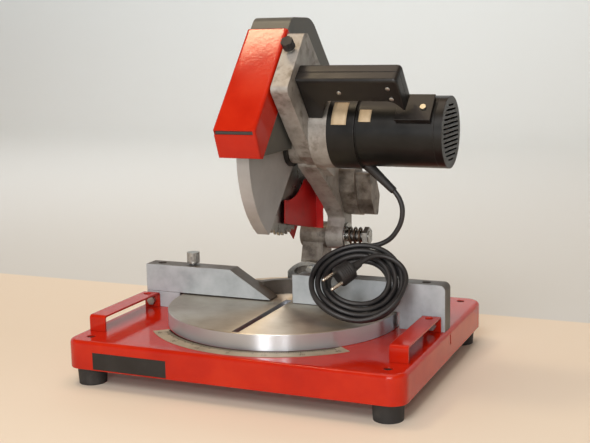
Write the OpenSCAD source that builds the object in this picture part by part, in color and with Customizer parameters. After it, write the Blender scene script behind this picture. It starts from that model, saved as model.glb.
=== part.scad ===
// Compound mitre saw with a 250 mm blade, head raised. The origin is on the bench under the table's pivot.
// X runs along the fence to the right, Y to the back and Z up, in millimetres.

/* [Base] */
// Width of the pressed steel tray
base_w = 480; // [470:1:520]
// Depth of the tray
base_d = 404; // [396:1:440]
// Height of the tray's side wall
tray_h = 39; // [30:1:60]
// Corner radius of the tray
tray_corner = 22; // [12:1:40]
// Bend radius of the tray's top edge
tray_bend = 6; // [4:0.5:10]
// Thickness of the tray's sheet
sheet = 2; // [1:0.1:3]
// Height of the rubber feet under the tray
foot_h = 25; // [15:1:40]
// Radius of a foot
foot_r = 20.5; // [16:0.5:24]
// Radius of the bench bolt holes
bench_r = 6; // [4:0.25:8]
// Distance of a bench bolt hole from the tray's end
bench_in_x = 27; // [25:1:32]
// Distance of a bench bolt hole from the tray's front or back
bench_in_y = 26; // [25:1:32]

/* [Table] */
// Radius of the turntable
table_r = 167; // [160:1:170]
// Height of the turntable's rim
table_h = 22.2; // [18:0.1:30]
// Thickness of the table's top plate
table_plate = 13; // [8:0.5:15]
// Width of the saw slot
kerf_w = 10; // [8:0.5:12]
// Width of the mitre scale's band
scale_w = 23.5; // [15:0.5:26]
// Half the arc of the mitre scale, in degrees
scale_half = 49; // [46:1:55]

/* [Fence] */
// Height of the fence above the table
fence_h = 42; // [36:1:46]
// Thickness of the fence
fence_t = 28; // [26:1:30]
// Left end of the fence
fence_left = 228; // [224:1:235]
// Right end of the fence
fence_right = 236; // [226:1:240]
// Start of the right face beside the blade
fence_gap = 12; // [12:0.5:16]
// Radius of the work clamp's post holes
post_r = 6.5; // [5:0.25:8]
// Width of a side rail
rail_w = 25; // [20:1:28]
// Length of a side rail
rail_l = 151; // [130:1:160]

/* [Head] */
// Radius of the blade
blade_r = 125; // [120:1:126]
// Thickness of the blade's plate
blade_t = 3.2; // [2:0.1:4]
// Number of teeth
teeth = 60; // [24:1:80]
// Radius of the spindle
spindle_r = 8; // [6:0.25:9]
// Outer radius of the swinging guard
guard_r = 136; // [133:1:138]
// Half the width of the swinging guard
guard_half = 9; // [8:0.5:12]
// Half the width of the grey hood
hood_half = 28; // [24:0.5:30]
// Thickness of the guards' sheet
skin = 1.6; // [1:0.1:2.4]
// Thickness of the arm casting
arm_t = 24; // [20:1:28]
// Radius of the head's pivot barrel
barrel_r = 20; // [18:0.5:22]
// Radius of the head's pivot shaft
shaft_r = 9; // [7:0.25:11]

/* [Motor and handle] */
// Radius of the motor
motor_r = 48; // [46:0.5:50]
// Length of the motor's housing
motor_l = 146; // [135:1:147]
// Length of the fan cover
fan_l = 11; // [10:1:11]
// Wall of the motor's housing
motor_wall = 4; // [2.5:0.25:6]
// Length of the handle
handle_l = 138; // [125:1:150]
// Height of the handle's bar
handle_h = 38; // [34:1:44]
// Thickness of the handle
handle_t = 31; // [26:0.5:34]

/* [Cord] */
// Diameter of the cord
cord_d = 7; // [6:0.25:8]
// Turns in each layer of the stowed coil
coil_turns = 3; // [2:0.5:4]

/* [Clearances] */
// Gap between sliding faces
slide_gap = 0.3; // [0.2:0.05:0.5]
// Radial clearance of a running shaft
run_gap = 0.05; // [0.02:0.01:0.1]
// Radial clearance of a fastener in its hole
bolt_gap = 0.15; // [0.05:0.05:0.3]

/* [Hidden] */

// Levels
tray_top = foot_h + tray_h;
table_low = tray_top + slide_gap;
table_top = table_low + table_h;
fence_low = table_top + 2*slide_gap;
fence_top = table_top + fence_h;
bench_x = base_w/2 - bench_in_x;
bench_y = base_d/2 - bench_in_y;

// Axes: the arbor, the motor and the chop pivot as [y, z], and the bevel axis at the table's surface
arbor = [10, table_top + 223.5];
axle_gap = 25;
motor = arbor + [0, axle_gap];
pivot = [136, table_top + 76.5];
bevel_z = table_top;
bevel_pin_r = 8;

// Stations along X on the head
arm_in = hood_half + 5;
arm_out = arm_in + arm_t;
motor_flange_t = 26;
flange_out = arm_out + motor_flange_t;
motor_end = flange_out + motor_l;
lug_in = barrel_r - 1.7;
lug_out = lug_in + 27.7;
barrel_left = -24;
shaft_end = lug_out + 37;

// Stations along Y behind the fence
bridge_in = 54;
bridge_out = 64;
bridge_top = table_top + 21.5;
rail_back = fence_t + 8;
quad_front = 90;
quad_back = quad_front + 9;
fan_front = quad_back + slide_gap;
fan_back = fan_front + 11;

// Quadrant and its clamp bolt
quad_r = 42;
quad_half = 34;
slot_r = 31.5;
slot_half = 4.6;
bolt_angle = 80;
bolt_r = 4;
bolt_at = [slot_r*cos(bolt_angle), bevel_z + slot_r*sin(bolt_angle)];
tilt = 45;

// Gears between the motor and the spindle
gear_teeth = 25;
gear_module = axle_gap/gear_teeth;
gear_x = [arm_in + 11, arm_in + 21];
pocket_x = arm_in + 8;
pocket_r = axle_gap/2 + gear_module + 2;

// Handle frame: corner of its front top edge, long side down the back, short side up the back
grip = arbor + [-95, 97];
grip_a = 48.5;
grip_u = [cos(grip_a), -sin(grip_a)];
grip_v = [sin(grip_a), cos(grip_a)];
grip_left = arm_out;
grip_right = arm_out + handle_l;
grip_wall = 3;
grip_leg = handle_h + 35;
grip_bolts = [[handle_h + 17, handle_t*0.25], [handle_h + 17, handle_t*0.75]];
grip_screws = [[grip_left + 56, 22.5], [grip_right - 15, 15.5], [grip_right - 15, 31]];
trigger_x = [grip_left + 66, grip_left + 92];
trigger_u = [12, 26];
trigger_travel = 4;

// Small fasteners: radius of the shank, radius and height of the head
screw_r = 3;
screw_head = [5.5, 4];

// Smoothness of round parts
fine = 96;
mid = 48;

// A vertex cut back by an arc of radius r with n steps
function corner(a, b, c, r, n) =
  let (u = (a - b)/norm(a - b), v = (c - b)/norm(c - b))
  let (half = acos(u*v)/2, back = r/tan(half), mid_dir = (u + v)/norm(u + v))
  let (o = b + mid_dir*r/sin(half), p = b + u*back - o, q = b + v*back - o)
  let (span = 180 - 2*half, side = sign(p.x*q.y - p.y*q.x))
  [for (i = [0:n]) let (t = side*span*i/n) o + [p.x*cos(t) - p.y*sin(t), p.x*sin(t) + p.y*cos(t)]];

// An outline with each corner rounded by its own radius, 0 for a sharp one
function rounded(points, radii, n = 6) =
  let (m = len(points))
  [for (i = [0:m - 1])
    let (a = points[(i + m - 1) % m], b = points[i], c = points[(i + 1) % m])
    each radii[i] == 0 ? [b] : corner(a, b, c, radii[i], n)];

// An open chain of points moved sideways by d, to the left of its direction
function shifted(points, d) =
  let (m = len(points))
  [for (i = [0:m - 1])
    let (a = points[max(i - 1, 0)], b = points[i], c = points[min(i + 1, m - 1)])
    let (u = i == 0 ? (c - b)/norm(c - b) : (b - a)/norm(b - a))
    let (v = i == m - 1 ? u : (c - b)/norm(c - b))
    let (s = (u + v)/norm(u + v))
    b + [-s.y, s.x]*d/(s*u)];

module rod_x(x0, x1, at, r) {
  translate([x0, at.x, at.y]) rotate([0, 90, 0]) cylinder(h = x1 - x0, r = r, $fn = fine);
}

module rod_y(y0, y1, at, r) {
  translate([at.x, y0, at.y]) rotate([-90, 0, 0]) cylinder(h = y1 - y0, r = r, $fn = mid);
}

module rod_z(z0, z1, at, r) {
  translate([at.x, at.y, z0]) cylinder(h = z1 - z0, r = r, $fn = fine);
}

// A plate square to X from an outline in Y and Z
module plate_x(x0, x1) {
  translate([x0, 0, 0]) rotate([90, 0, 90]) linear_extrude(x1 - x0) children();
}

// A plate square to Y from an outline in X and Z
module plate_y(y0, y1) {
  translate([0, y1, 0]) rotate([90, 0, 0]) linear_extrude(y1 - y0) children();
}

// A block between two opposite corners
module block(a, b) {
  translate(a) cube(b - a);
}

// A hexagon head or nut along X
module hex_x(x0, x1, at, r) {
  translate([x0, at.x, at.y]) rotate([0, 90, 0]) cylinder(h = x1 - x0, r = r, $fn = 6);
}

// A hexagon head or nut along Y
module hex_y(y0, y1, at, r) {
  translate([at.x, y0, at.y]) rotate([-90, 0, 0]) cylinder(h = y1 - y0, r = r, $fn = 6);
}

// Pieces drawn in the handle's own frame: x along the bar, u down its front, v through it
module in_grip() {
  multmatrix([
    [1, 0, 0, 0],
    [0, grip_u.x, grip_v.x, grip.x],
    [0, grip_u.y, grip_v.y, grip.y],
    [0, 0, 0, 1]
  ]) children();
}

// Both sides of the machine
module both_x() {
  for (s = [0, 1]) mirror([s, 0, 0]) children();
}

// Base

// Tray block with round corners and a bent top edge
module tray_block(w, d, z0, z1, r, bend) {
  hull()
    for (x = [-1, 1], y = [-1, 1]) translate([x*(w/2 - r), y*(d/2 - r), 0]) {
      translate([0, 0, z0]) cylinder(h = z1 - bend - z0, r = r, $fn = 32);
      translate([0, 0, z1 - bend]) rotate_extrude($fn = 32) translate([r - bend, 0]) circle(bend, $fn = 24);
    }
}

slit = [-1.5, 3, 20];
foot_in = table_r + 5;
fence_bolt_x = [for (share = [0.09, 0.56]) foot_in + share*(base_w/2 - foot_in)];
fence_bolt_y = fence_t/2;
spigot_r = 15;

module tray() {
  color("#c8281c") difference() {
    tray_block(base_w, base_d, foot_h, tray_top, tray_corner, tray_bend);
    tray_block(base_w - 2*sheet, base_d - 2*sheet, foot_h - sheet, tray_top - sheet,
      tray_corner - sheet, tray_bend - sheet);
    for (x = [-1, 1], y = [-1, 1]) rod_z(foot_h, tray_top + 1, [x*bench_x, y*bench_y], bench_r);
    rod_z(foot_h, tray_top + 1, [0, 0], spigot_r + run_gap);
    for (x = fence_bolt_x, s = [-1, 1])
      rod_z(foot_h, tray_top + 1, [s*x, fence_bolt_y], bolt_r + bolt_gap);
    block([base_w/2 - 2*sheet, fence_t/2 + slit.x, tray_top - slit.z],
      [base_w/2 + 1, fence_t/2 + slit.y, tray_top - tray_bend]);
    name_block(bolt_gap);
  }
}

foot_taper = 1.5;

module feet() {
  color("#1c1c1c")
    for (x = [-1, 1], y = [-1, 1]) translate([x*bench_x, y*bench_y, 0]) difference() {
      union() {
        cylinder(h = foot_h, r1 = foot_r - foot_taper, r2 = foot_r, $fn = fine);
        translate([0, 0, foot_h]) cylinder(h = tray_h - sheet, r = foot_r - foot_taper, $fn = fine);
      }
      translate([0, 0, -1]) cylinder(h = tray_top + 2, r = bench_r, $fn = mid);
    }
}

plate_t = 0.8;
name_size = [112, 23];
name_at = [45, 1.5];

// The front plate's block, or its recess with a gap round it
module name_block(gap) {
  corner_at = [-base_w/2 + name_at.x, foot_h + name_at.y];
  block([corner_at.x - gap, -base_d/2 - gap, corner_at.y - gap],
    [corner_at.x + name_size.x + gap, -base_d/2 + plate_t, corner_at.y + name_size.y + gap]);
}

module name_plate() {
  color("#181818") name_block(0);
}

scale_gap = 1.5;

module scale_plate() {
  color("#c9c3ae") translate([0, 0, tray_top])
    rotate([0, 0, -90 - scale_half]) rotate_extrude(angle = 2*scale_half, $fn = fine)
      translate([table_r + scale_gap, 0]) square([scale_w, plate_t]);
}

rail_t = 2.5;
rail_bend = 5;
rail_in = base_w/2 - 34;
rail_top = table_top;
rail_hole = [14, 6];
rail_bolt_z = tray_top + 9;

// Outline of an inverted U whose bends have the radius r
function rail_outline(y0, y1, low, top, r) =
  rounded([[y0, low], [y1, low], [y1, top], [y0, top]], [0, 0, r, r]);

// Inverted U of bent strip on the left or right of the table, against the fence
module rail() {
  difference() {
    plate_x(rail_in, rail_in + rail_w) difference() {
      polygon(rail_outline(-rail_l, 0, tray_top, rail_top, rail_bend));
      polygon(rail_outline(-rail_l + rail_t, -rail_t, tray_top - 1, rail_top - rail_t, rail_bend - rail_t));
    }
    rod_z(tray_top, rail_top + 1, [rail_in + rail_w/2, -rail_t - rail_hole.x], rail_hole.y);
    rod_y(-2*rail_t, 1, [rail_in + rail_w/2, rail_bolt_z], bolt_r + bolt_gap);
  }
}

module left_rail() {
  color("#c8281c") mirror([1, 0, 0]) rail();
}

module right_rail() {
  color("#c8281c") rail();
}

rail_bolt_l = 8;

module rail_bolts() {
  color("#8d8d8a") both_x() {
    hex_y(-rail_t - 5, -rail_t, [rail_in + rail_w/2, rail_bolt_z], bolt_r + 2.5);
    rod_y(-rail_t, rail_bolt_l, [rail_in + rail_w/2, rail_bolt_z], bolt_r);
  }
}

// Fence

seam = table_top + 1.5;
tongue_z = [table_top + 12, table_top + 20];
tongue_y = fence_t/2 + 1;
slide_travel = 60;
tongue_x = [-fence_left + 6, -126];
groove_end = tongue_x[1] + slide_travel + 2;
post_y = fence_t/2 + 1;
post_in = 30;
fence_round = 8;

// Fixed casting: the right face, the low left seat with its guide tongue, and the bridge behind the blade
module fence() {
  color("#a9b4ba") difference() {
    union() {
      difference() {
        plate_y(0, fence_t) polygon(rounded([[fence_gap, fence_low], [fence_right, fence_low],
          [fence_right, fence_top], [fence_gap, fence_top]], [0, 0, fence_round, 0]));
        translate([fence_gap, 0, fence_low - 1]) linear_extrude(fence_h + 2)
          polygon([[-1, -1], [0, 0], [fence_t + 1, fence_t + 1], [-1, fence_t + 1]]);
      }
      block([foot_in, 0, tray_top], [fence_right, fence_t, fence_low]);
      block([-fence_left, 0, tray_top], [-foot_in, rail_back, seam - slide_gap]);
      block([-fence_left, fence_t + slide_gap, seam - slide_gap - 1],
        [-bridge_in + 6, rail_back, bridge_top]);
      block([tongue_x[0], tongue_y, tongue_z[0]], [tongue_x[1], rail_back, tongue_z[1]]);
      translate([0, 0, fence_low]) linear_extrude(bridge_top - fence_low) difference() {
        circle(bridge_out, $fn = fine);
        circle(bridge_in, $fn = fine);
        translate([-bridge_out - 1, -bridge_out - 1])
          square([bridge_out + 1, bridge_out + 1 + fence_t + slide_gap]);
        translate([-1, -bridge_out - 1]) square([bridge_out + 2, bridge_out + 1 + fence_t/2]);
      }
    }
    rod_z(fence_low + 4, fence_top + 1, [fence_right - post_in, post_y], post_r);
    for (x = fence_bolt_x, s = [-1, 1])
      rod_z(tray_top - 1, tray_top + 16, [s*x, fence_bolt_y], bolt_r + run_gap);
    both_x() rod_y(-1, rail_bolt_l + 1, [rail_in + rail_w/2, rail_bolt_z], bolt_r + run_gap);
  }
}

module fence_bolts() {
  color("#8d8d8a") for (x = fence_bolt_x, s = [-1, 1]) translate([s*x, fence_bolt_y, tray_top - sheet]) {
    translate([0, 0, -5]) cylinder(h = 5, r = bolt_r + 2.5, $fn = 6);
    cylinder(h = sheet + 15, r = bolt_r, $fn = mid);
  }
}

slide_tip = [-23, -88];
slide_post = 20;
screw_x = -156;
screw_neck = 5;
knurl_r = 9.5;
knurl_h = 16;

module sliding_fence() {
  color("#a9b4ba") difference() {
    plate_y(0, fence_t) polygon([[-fence_left, seam], [slide_tip[0], seam],
      [slide_tip[1], fence_top], [-fence_left, fence_top]]);
    block([-fence_left - 1, tongue_y - slide_gap, tongue_z[0] - slide_gap],
      [groove_end, fence_t + 1, tongue_z[1] + slide_gap]);
    rod_z(tongue_z[1] + 4, fence_top + 1, [-fence_left + slide_post, post_y], post_r);
    rod_z(tongue_z[1], fence_top + 1, [screw_x, post_y + 2], bolt_r + run_gap);
  }
}

module fence_screw() {
  color("#9b9a94") translate([screw_x, post_y + 2, 0]) {
    translate([0, 0, tongue_z[1] + slide_gap])
      cylinder(h = fence_top - tongue_z[1] + 4, r = bolt_r, $fn = mid);
    translate([0, 0, fence_top + slide_gap]) cylinder(h = 4, r = screw_neck, $fn = mid);
    translate([0, 0, fence_top + slide_gap + 3]) difference() {
      cylinder(h = knurl_h, r = knurl_r, $fn = fine);
      for (i = [0:23]) rotate([0, 0, 15*i]) translate([knurl_r + 0.4, 0, 3])
        cylinder(h = knurl_h, r = 0.8, $fn = 16);
    }
  }
}

// Turntable

kerf_y = [-table_r + 4, 18];
kerf_low = table_low + 1.5;
rim_t = 12;
hub_r = 32;
spigot_low = tray_top - sheet - slide_gap;
rib_front = quad_front - 18;
notch_half = 58;
quad_bolt = [22, table_low + 12];

module table() {
  color("#a39d93") difference() {
    union() {
      rotate_extrude($fn = 180) polygon([[0, spigot_low], [spigot_r, spigot_low], [spigot_r, table_low],
        [hub_r, table_low], [hub_r, table_top - table_plate],
        [table_r - rim_t, table_top - table_plate], [table_r - rim_t, table_low],
        [table_r, table_low], [table_r, table_top - 1], [table_r - 1, table_top], [0, table_top]]);
      block([-quad_half - 6, rib_front, table_low],
        [quad_half + 6, quad_front + 5, table_top - table_plate/2]);
    }
    plate_y(kerf_y[0], kerf_y[1]) polygon([[-kerf_w/2, kerf_low],
      [kerf_w/2 + table_top - 2 - kerf_low, kerf_low], [kerf_w/2, table_top - 2],
      [kerf_w/2, table_top + 1], [-kerf_w/2, table_top + 1]]);
    block([-quad_half - bolt_gap, quad_front, table_low - 1],
      [quad_half + bolt_gap, quad_back + 1, table_top + 1]);
    block([-notch_half, quad_back, table_low - 1], [notch_half, table_r + 1, table_top + 1]);
    for (s = [-1, 1]) {
      rod_y(rib_front - 1, quad_front + 1, [s*quad_bolt.x, quad_bolt.y], bolt_r + bolt_gap);
      rod_y(rib_front - 12, rib_front, [s*quad_bolt.x, quad_bolt.y], bolt_r + 3.2);
    }
    rod_z(spigot_low - 1, kerf_low - 1, [0, 0], bolt_r + run_gap);
  }
}

retainer_t = 4;

module table_retainer() {
  color("#7d7c78") translate([0, 0, spigot_low - retainer_t]) difference() {
    cylinder(h = retainer_t, r = spigot_r + 9, $fn = fine);
    translate([0, 0, -1]) cylinder(h = retainer_t + 2, r = bolt_r + bolt_gap, $fn = mid);
  }
}

module retainer_screw() {
  color("#8d8d8a") translate([0, 0, spigot_low - retainer_t]) {
    translate([0, 0, -5]) cylinder(h = 5, r = bolt_r + 3, $fn = 6);
    cylinder(h = retainer_t + 3, r = bolt_r, $fn = mid);
  }
}

// Slot along an arc between two angles, with round ends
module arc_slot(r, half, a0, a1) {
  steps = 16;
  arc = [for (i = [0:steps]) let (a = a0 + (a1 - a0)*i/steps) [cos(a), sin(a)]];
  polygon(concat((r + half)*arc, [for (i = [steps:-1:0]) (r - half)*arc[i]]));
  for (a = [a0, a1]) rotate(a) translate([r, 0]) circle(half, $fn = 24);
}

// Upright plate with the arc slot for the bevel clamp
module quadrant() {
  color("#8f8c86") difference() {
    plate_y(quad_front, quad_back) difference() {
      union() {
        translate([-quad_half, table_low + 1]) square([2*quad_half, bevel_z - table_low - 1]);
        intersection() {
          translate([0, bevel_z]) circle(quad_r, $fn = fine);
          translate([-quad_half, bevel_z - 1]) square([2*quad_half, quad_r + 2]);
        }
      }
      translate([0, bevel_z]) circle(bevel_pin_r, $fn = mid);
      translate([0, bevel_z]) arc_slot(slot_r, slot_half, bolt_angle - 1, bolt_angle + tilt + 1);
    }
    for (s = [-1, 1]) rod_y(quad_front - 1, quad_back - 1, [s*quad_bolt.x, quad_bolt.y], bolt_r + run_gap);
  }
}

module quadrant_bolts() {
  color("#8d8d8a") for (s = [-1, 1]) {
    hex_y(rib_front - 5, rib_front, [s*quad_bolt.x, quad_bolt.y], bolt_r + 2.5);
    rod_y(rib_front, quad_back - 2, [s*quad_bolt.x, quad_bolt.y], bolt_r);
  }
}

boss_back = fan_back + 14;
boss_r = 19;
pin_head_r = bevel_pin_r + 5;

module bevel_pin() {
  color("#8d8d8a") {
    rod_y(quad_front, boss_back + slide_gap, [0, bevel_z], bevel_pin_r);
    rod_y(boss_back + slide_gap, boss_back + 5, [0, bevel_z], pin_head_r);
  }
}

// Tilting column

neck_x = [barrel_left + 4, 14];
fan_r = 40;
fan_half = 50;

// Casting with the clamp fan, the bevel boss, the neck and the pivot barrel
module column() {
  color("#8b8781") difference() {
    union() {
      rod_y(fan_front, boss_back, [0, bevel_z], boss_r);
      plate_y(fan_front, fan_back) translate([0, bevel_z]) intersection() {
        circle(fan_r, $fn = fine);
        polygon([[0, -6], 2*fan_r*[sin(fan_half), cos(fan_half)], [0, 2*fan_r],
          2*fan_r*[-sin(fan_half), cos(fan_half)]]);
      }
      plate_x(neck_x[0], neck_x[1]) polygon([[fan_back - 2, bevel_z], [fan_back - 2, bevel_z + 32],
        pivot + [-barrel_r + 3, -8], pivot, pivot + [barrel_r - 2, -4],
        [pivot.x + 15, bevel_z + 30], [boss_back, bevel_z + pin_head_r + 2], [boss_back, bevel_z]]);
      rod_x(barrel_left, lug_in - slide_gap, pivot, barrel_r);
    }
    rod_x(barrel_left - 1, lug_in, pivot, shaft_r + run_gap/2);
    rod_y(fan_front - 1, boss_back + 1, [0, bevel_z], bevel_pin_r + run_gap);
    rod_y(fan_front - 1, fan_back + 8, bolt_at, bolt_r + run_gap);
  }
}

module bevel_bolt() {
  color("#8d8d8a") {
    hex_y(quad_front - slide_gap - 6.5, quad_front - slide_gap, bolt_at, bolt_r + 3);
    rod_y(quad_front - slide_gap - 9, fan_back + 7, bolt_at, bolt_r);
  }
}

washer_t = 2;

module pivot_shaft() {
  color("#8d8d8a") rod_x(barrel_left - 2, shaft_end, pivot, shaft_r);
}

module pivot_washer() {
  color("#c4c4c0") difference() {
    rod_x(lug_out + slide_gap, lug_out + slide_gap + washer_t, pivot, barrel_r);
    rod_x(lug_out, lug_out + 5, pivot, shaft_r + run_gap/2);
  }
}

module pivot_nut() {
  color("#8d8d8a") difference() {
    hex_x(shaft_end - 8, shaft_end - 1, pivot, shaft_r + 6);
    rod_x(shaft_end - 9, shaft_end, pivot, shaft_r + run_gap/2);
  }
}

// Tube through a list of points with a flat cap at each end, each ring square to the path
function tangent(p, i) =
  let (d = p[min(i + 1, len(p) - 1)] - p[max(i - 1, 0)]) d/norm(d);
function turned(up, t) = let (s = up - t*(up*t)) s/norm(s);
function frames(p, up) =
  [for (i = 0, u = turned(up, tangent(p, 0)); i < len(p);
    i = i + 1, u = i < len(p) ? turned(u, tangent(p, i)) : u) u];

module tube(p, r, sides, up) {
  f = frames(p, up);
  m = len(p);
  points = [for (i = [0:m - 1], k = [0:sides - 1])
    let (a = 360*k/sides) p[i] + r*(cos(a)*f[i] + sin(a)*cross(tangent(p, i), f[i]))];
  walls = [for (i = [0:m - 2], k = [0:sides - 1])
    let (a = i*sides + k, b = i*sides + (k + 1) % sides)
    each [[a, a + sides, b], [b, a + sides, b + sides]]];
  caps = [for (k = [1:sides - 2])
    each [[0, k, k + 1], [(m - 1)*sides, (m - 1)*sides + k + 1, (m - 1)*sides + k]]];
  polyhedron(points, concat(walls, caps), convexity = 10);
}

// Least distance between points of a path that are more than skip steps apart
function least_gap(p, skip) =
  min([for (i = [0:len(p) - 1], j = [i + skip:1:len(p) - 1]) norm(p[i] - p[j])]);

spring_wire = 3.2;
spring_curls = 3;
spring_r = shaft_r + spring_wire/2 + 2;
spring_x = [lug_out + slide_gap + washer_t, shaft_end - 8];
spring_step = 8;
spring_run = spring_x[1] - spring_x[0] - 4*spring_wire;
spring_path = concat(
  [for (d = [0, 1]) [spring_x[0] + d*spring_wire, pivot.x + spring_r, pivot.y]],
  [for (i = [1:spring_curls*spring_step])
    let (a = 360*i/spring_step, x = spring_x[0] + 2*spring_wire + spring_run*i/(spring_curls*spring_step))
    [x, pivot.x + spring_r*cos(a), pivot.y + spring_r*sin(a)]],
  [for (d = [1, 0]) [spring_x[1] - d*spring_wire, pivot.x + spring_r, pivot.y]]);
echo(spring_gap = least_gap(spring_path, 5) - spring_wire);

module return_spring() {
  color("#8a6a3a") tube(spring_path, spring_wire/2, 6, [0, 0, 1]);
}

// Head

nose_r = 22.5;
hub_seat = 18;
hub_x = [guard_half - skin, guard_half + 6];
bearing_r = 16;
front_bearing = [hub_x[1] + 3, hub_x[1] + 12];
back_bearing_r = 9.5;
back_journal = 3.5;
back_bearing_t = 5;
motor_flange_r = motor_r + 4;
motor_bolt_a = [60, 150, 320];
motor_bolts_at = [for (a = motor_bolt_a) motor + motor_r*[cos(a), sin(a)]];
hood_bolts_at = [arbor + [-80, 100], arbor + [-40, 130], arbor + [-15, 105]];
grip_bolts_at = [for (b = grip_bolts) grip + b.x*grip_u + b.y*grip_v];
lug_r = barrel_r + 1;
arm_front = arbor + [-120, 86];
arm_crown = arbor + [-57, 157];
knob_at = arm_front + 0.7*(arm_crown - arm_front);
knob_dir = [arm_front.y - arm_crown.y, arm_crown.x - arm_front.x]/norm(arm_crown - arm_front);
rear_tab = [pivot.x - 27, pivot.x - 1];
rear_tab_z = [pivot.y + 45, pivot.y + 85];
guard_screws_at = [[pivot.x - 14, rear_tab_z[0] + 12], [pivot.x - 14, rear_tab_z[1] - 12]];

// Outlines of the arm: the plate beside the hood and the strip down to the pivot
arm_plate = rounded(
  [arm_front, arm_crown, arbor + [-46, 157], arbor + [22, 90], arbor + [56, 42],
    arbor + [56, 8], arbor + [50, -48], arbor + [10, -28], arbor + [-28, -10], arbor + [-60, 20]],
  [8, 5, 5, 10, 10, 10, 4, 8, 10, 20]);
arm_strip = rounded(
  [arbor + [-4, -22], arbor + [50, -60], pivot + [-28, 49], pivot + [-8, 29], pivot + [-lug_r, 0], pivot,
    pivot + [lug_r, 0], pivot + [lug_r, 40], pivot + [5, 85], arbor + [56, -5]],
  [6, 6, 10, 6, 0, 0, 0, 14, 20, 6]);

// Cast arm with the pivot lug, the spindle's nose and the gear pocket
module arm() {
  color("#9a958c") difference() {
    union() {
      plate_x(arm_in, arm_out) polygon(arm_plate);
      plate_x(lug_in, lug_out) polygon(arm_strip);
      rod_x(lug_in, lug_out, pivot, lug_r);
      rod_x(hub_x[1], arm_in + 1, arbor, nose_r);
      rod_x(hub_x[0], arm_in + 1, arbor, hub_seat);
    }
    rod_x(lug_in - 1, lug_out + 1, pivot, shaft_r + run_gap);
    rod_x(0, arm_out, arbor, spindle_r + 1.5);
    rod_x(front_bearing[0], arm_out, arbor, bearing_r);
    plate_x(pocket_x, arm_out + 1) {
      translate(arbor) circle(bearing_r, $fn = fine);
      translate(motor) circle(pocket_r, $fn = fine);
      translate(arbor - [pocket_r, 0]) square([2*pocket_r, axle_gap]);
    }
    for (at = concat(motor_bolts_at, grip_bolts_at)) {
      rod_x(arm_in - 1, arm_in + screw_head[1] + 1, at, screw_head[0] + bolt_gap);
      rod_x(arm_in, arm_out + 1, at, screw_r + bolt_gap);
    }
    for (at = hood_bolts_at) rod_x(arm_in - 1, arm_in + 13, at, screw_r + run_gap);
    for (at = guard_screws_at) rod_x(lug_in - 1, lug_in + 15, at, screw_r + run_gap);
    along(knob_at, knob_dir) translate([0, 0, -stud_in - 5])
      cylinder(h = stud_in + 15, r = screw_r + run_gap, $fn = mid);
  }
}

// A frame with its Z axis along a direction in the YZ plane, at the middle of the arm
module along(at, dir) {
  translate([(arm_in + arm_out)/2, at.x, at.y]) rotate([atan2(-dir.x, dir.y), 0, 0]) children();
}

spring_round = 5;
spring_steps = [24, 46];

// Casting on the right of the arm that holds the head's return spring
module spring_housing() {
  color("#8b8c8b") {
    plate_x(lug_out, lug_out + spring_steps[0]) polygon(rounded(
      [pivot + [-34, 106], pivot + [-32, 72], pivot + [-12, 38],
        pivot + [14, 30], pivot + [24, 62], pivot + [2, 106]],
      [for (i = [0:5]) spring_round]));
    plate_x(lug_out + spring_steps[0], lug_out + spring_steps[1]) polygon(rounded(
      [pivot + [-26, 100], pivot + [-18, 60], pivot + [-4, 36],
        pivot + [12, 32], pivot + [20, 62], pivot + [-2, 100]],
      [for (i = [0:5]) spring_round]));
  }
}

knob_nut = 6;
knob_r = 8.3;
knob_h = 12;
knob_hole = knob_h - 3;
stud_in = 15;

module knob_stud() {
  color("#8d8d8a") along(knob_at, knob_dir) {
    translate([0, 0, -stud_in]) cylinder(h = stud_in + knob_nut + knob_hole - 1, r = screw_r, $fn = mid);
    cylinder(h = knob_nut, r = screw_r + 3, $fn = 6);
  }
}

// Lobed black knob on its stud
module knob() {
  color("#161616") along(knob_at, knob_dir) translate([0, 0, knob_nut + slide_gap]) difference() {
    cylinder(h = knob_h, r = knob_r, $fn = fine);
    for (i = [0:5]) rotate([0, 0, 60*i]) translate([knob_r + 2.4, 0, 3])
      cylinder(h = knob_h, r = 3.4, $fn = mid);
    translate([0, 0, -1]) cylinder(h = knob_hole + 1, r = screw_r + run_gap, $fn = mid);
  }
}

// Motor

shaft_in = 6;
motor_bearing_r = 12;
motor_bearing_t = 7;

module motor_flange() {
  color("#8f8a82") difference() {
    rod_x(arm_out, flange_out, motor, motor_flange_r);
    rod_x(arm_out - 1, flange_out + 1, motor, shaft_in + 1);
    rod_x(flange_out - motor_bearing_t, flange_out + 1, motor, motor_bearing_r);
    rod_x(arm_out - 1, arm_out + back_bearing_t, arbor, back_bearing_r);
    for (at = motor_bolts_at) rod_x(arm_out - 1, flange_out + 1, at, screw_r + bolt_gap);
  }
}

arm_bolt_l = 8;
grip_bolt_l = 17;

// Socket bolt with its head sunk in the arm's left face
module arm_bolt(at, end) {
  rod_x(arm_in + 1, arm_in + 1 + screw_head[1], at, screw_head[0]);
  rod_x(arm_in + 1 + screw_head[1], end, at, screw_r);
}

// Bolts through the arm that hold the motor and the handle
module arm_bolts() {
  color("#8d8d8a") {
    for (at = motor_bolts_at) arm_bolt(at, flange_out + arm_bolt_l);
    for (at = grip_bolts_at) arm_bolt(at, arm_out + grip_bolt_l);
  }
}

motor_in = motor_r - motor_wall;
ring_l = 39;

module motor_housing() {
  color("#1a1a1a") difference() {
    union() {
      rod_x(flange_out, motor_end, motor, motor_r);
      rod_x(flange_out, flange_out + ring_l, motor, motor_flange_r);
    }
    rod_x(flange_out - 1, motor_end + 1, motor, motor_in);
    for (at = motor_bolts_at) rod_x(flange_out - 1, flange_out + arm_bolt_l + 1, at, screw_r + run_gap);
  }
}

shield_x = [motor_end - 22, motor_end - 12];

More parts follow.
